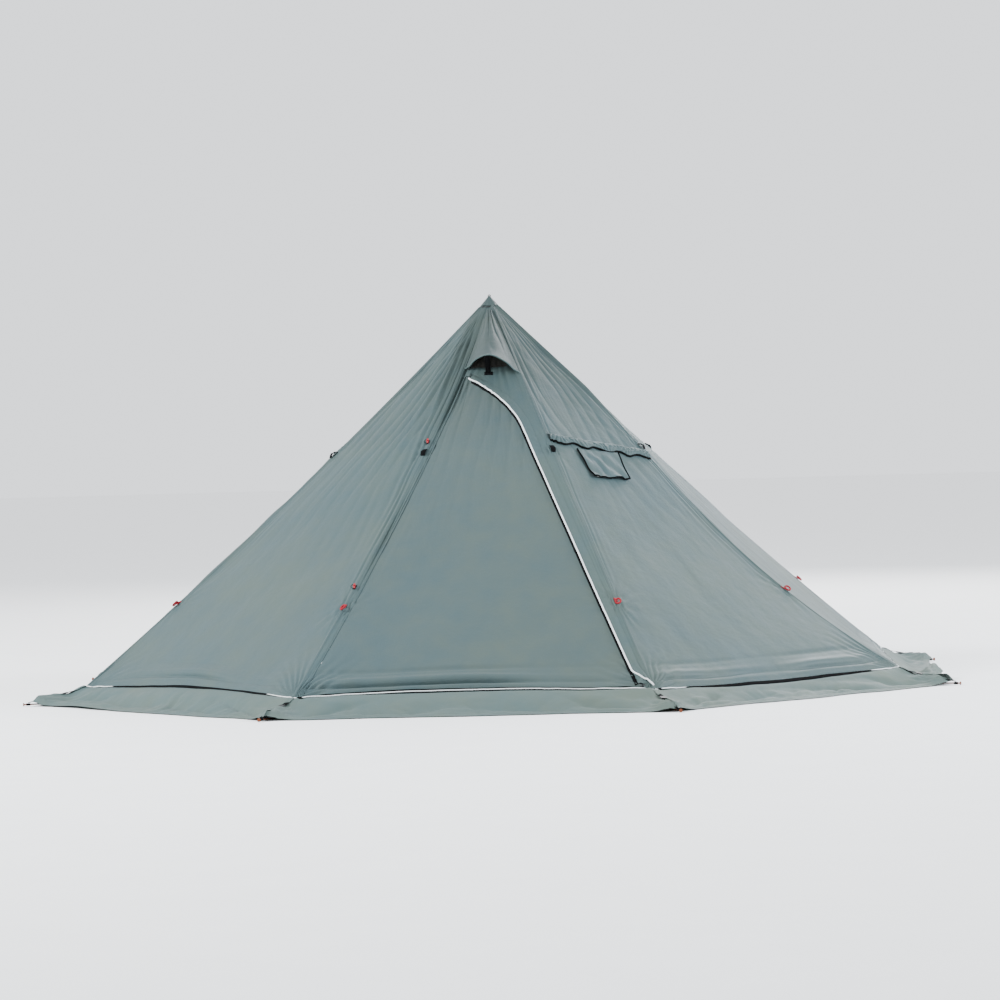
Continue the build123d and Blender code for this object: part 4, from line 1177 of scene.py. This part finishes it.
def make_toggles():
    """Red toggles on cord loops, each where its turning axis meets the cloth, and their black bases."""
    across, up, normal = panel_axes(0)
    ridge = SIDES - 1
    bases = []
    for name, fraction in TOGGLES.items():
        flat_v = SLANT * (1 - fraction)
        flat_u = 0.016 - float(ridge_u(flat_v))
        shrink = 1 - flat_v / SLANT
        axis_point = outward(panel_azimuth(0)) * APOTHEM * shrink + across * flat_u
        axis_point = axis_point + np.array([0, 0, PEAK_Z - RISE * shrink])
        v, aside = seat_below(axis_point, normal, ridge, flat_v)
        seat = ridge_line(ridge, [v], 0.0, aside)[0] + 0.014 * normal
        way = np.linspace(-1, 1, 15)
        radius = 0.0060 * (1 - 0.32 * bump(way, 0, 0.25)) * np.sqrt(np.maximum(1 - (abs(way) ** 8), 0.05))
        rod = tube(seat + way[:, None] * 0.018 * up, radius, 12, up=normal)
        cord = tube(np.linspace(seat, seat - normal * 0.008, 5), 0.0016, 6, up=up)
        turn = np.linspace(0, 2 * math.pi, 19)
        knot = seat + 0.0075 * np.cos(turn)[:, None] * across + 0.0065 * np.sin(turn)[:, None] * normal
        toggle = join_shapes(f"{name}_rod", [rod, cord, tube(knot, 0.0022, 6, up=up)], red_plastic)
        dress(toggle, "toggle_high" if name == "toggle_upper" else "toggle_low", "red_plastic", name)
        spots = np.linspace(v - 0.015, v + 0.015, 6)
        left = ridge_line(ridge, spots, 0.0, aside - 0.009) + 0.003 * normal
        right = ridge_line(ridge, spots, 0.0, aside + 0.009) + 0.003 * normal
        bases.append(ribbon(left, right, 0.003, normal))
        loop = np.linspace(0, math.pi, 14)
        arc = 0.016 * np.cos(loop)[:, None] * up - 0.020 * np.sin(loop)[:, None] * across
        bases.append(tube(seat - normal * 0.004 + arc, 0.0015, 6, up=normal))
    base = join_shapes("toggle_base_set", bases, black_web)
    dress(base, "canopy", "black_webbing", "toggle_bases")


# ---------------------------------------------------------------- camera, light and floor
CAMERA_AZIMUTH = math.radians(3.56)
CAMERA_PITCH = math.radians(0.52)
CAMERA_ROLL = math.radians(-1.57)
CAMERA_DISTANCE = 20.27
CAMERA_HEIGHT = 1.348
LENS = 122.5
SENSOR = 36.0
SHIFT = (0.0055, -0.0126)
FLOOR_REACH = 140


def make_camera():
    """Looks level at the door from a little to its right, from the height of a person's eyes."""
    data = bpy.data.cameras.new("camera")
    data.lens, data.sensor_width = LENS, SENSOR
    data.shift_x, data.shift_y = SHIFT
    data.clip_end = 200
    camera = bpy.data.objects.new("camera", data)
    bpy.context.scene.collection.objects.link(camera)
    level = Vector((-math.sin(CAMERA_AZIMUTH), math.cos(CAMERA_AZIMUTH), 0))
    right = Vector((math.cos(CAMERA_AZIMUTH), math.sin(CAMERA_AZIMUTH), 0))
    ahead = level * math.cos(CAMERA_PITCH) - Vector((0, 0, math.sin(CAMERA_PITCH)))
    above = Vector((0, 0, math.cos(CAMERA_PITCH))) + level * math.sin(CAMERA_PITCH)
    tilted_right = right * math.cos(CAMERA_ROLL) + above * math.sin(CAMERA_ROLL)
    tilted_above = above * math.cos(CAMERA_ROLL) - right * math.sin(CAMERA_ROLL)
    turn = Matrix((tilted_right, tilted_above, -ahead)).transposed()
    place = -level * CAMERA_DISTANCE + Vector((0, 0, CAMERA_HEIGHT))
    camera.matrix_world = Matrix.Translation(place) @ turn.to_4x4()
    bpy.context.scene.camera = camera


def area_light(name, place, target, size, power, colour=(1, 1, 1)):
    """A round soft light aimed at a target."""
    data = bpy.data.lights.new(name, "AREA")
    data.shape, data.size, data.energy, data.color = "DISK", size, power, colour
    light = bpy.data.objects.new(name, data)
    light.location = place
    light.rotation_mode = "QUATERNION"
    light.rotation_quaternion = (Vector(target) - Vector(place)).to_track_quat("-Z", "Y")
    bpy.context.scene.collection.objects.link(light)


def make_studio():
    """A pale world, three soft lights and a wide pale floor."""
    world = bpy.data.worlds.new("studio")
    world.use_nodes = True
    background = world.node_tree.nodes["Background"]
    background.inputs["Color"].default_value = (0.93, 0.96, 1.0, 1)
    background.inputs["Strength"].default_value = 1.7
    bpy.context.scene.world = world
    area_light("key", (-12, -7, 9), (0, 0, 0.8), 5, 4300, (0.94, 0.98, 1.0))
    area_light("fill", (13, -2, 6), (0, 0, 0.8), 6, 2900, (0.84, 0.92, 1.0))
    area_light("back", (3, 13, 9), (0, 0, 1.0), 8, 2000)
    mesh = bpy.data.meshes.new("floor")
    corners = ((-1, -1), (1, -1), (1, 1), (-1, 1))
    mesh.from_pydata([(FLOOR_REACH * x, FLOOR_REACH * y, -0.001) for x, y in corners], [], [(0, 1, 2, 3)])
    floor = bpy.data.objects.new("floor", mesh)
    m = Nodes("pale_floor")
    grain = m.noise(m.add("ShaderNodeTexCoord").outputs["Object"], 3.0, 3)
    m.colour(m.ramp(grain, (0.3, (0.915, 0.915, 0.915)), (0.7, (0.935, 0.935, 0.935))))
    m.shader.inputs["Roughness"].default_value = 0.95
    mesh.materials.append(m.material)
    bpy.context.scene.collection.objects.link(floor)


make_camera()
make_studio()
finish_carried_nodes()
make_canopy()
make_seams()
make_hem()
make_door()
make_zip()
make_storm_flap()
make_hood()
make_prop()
make_jack()
make_jack_cover()
make_awning()
make_peak()
make_skirt()
make_guy_points()
make_toggles()

bpy.context.view_layer.update()
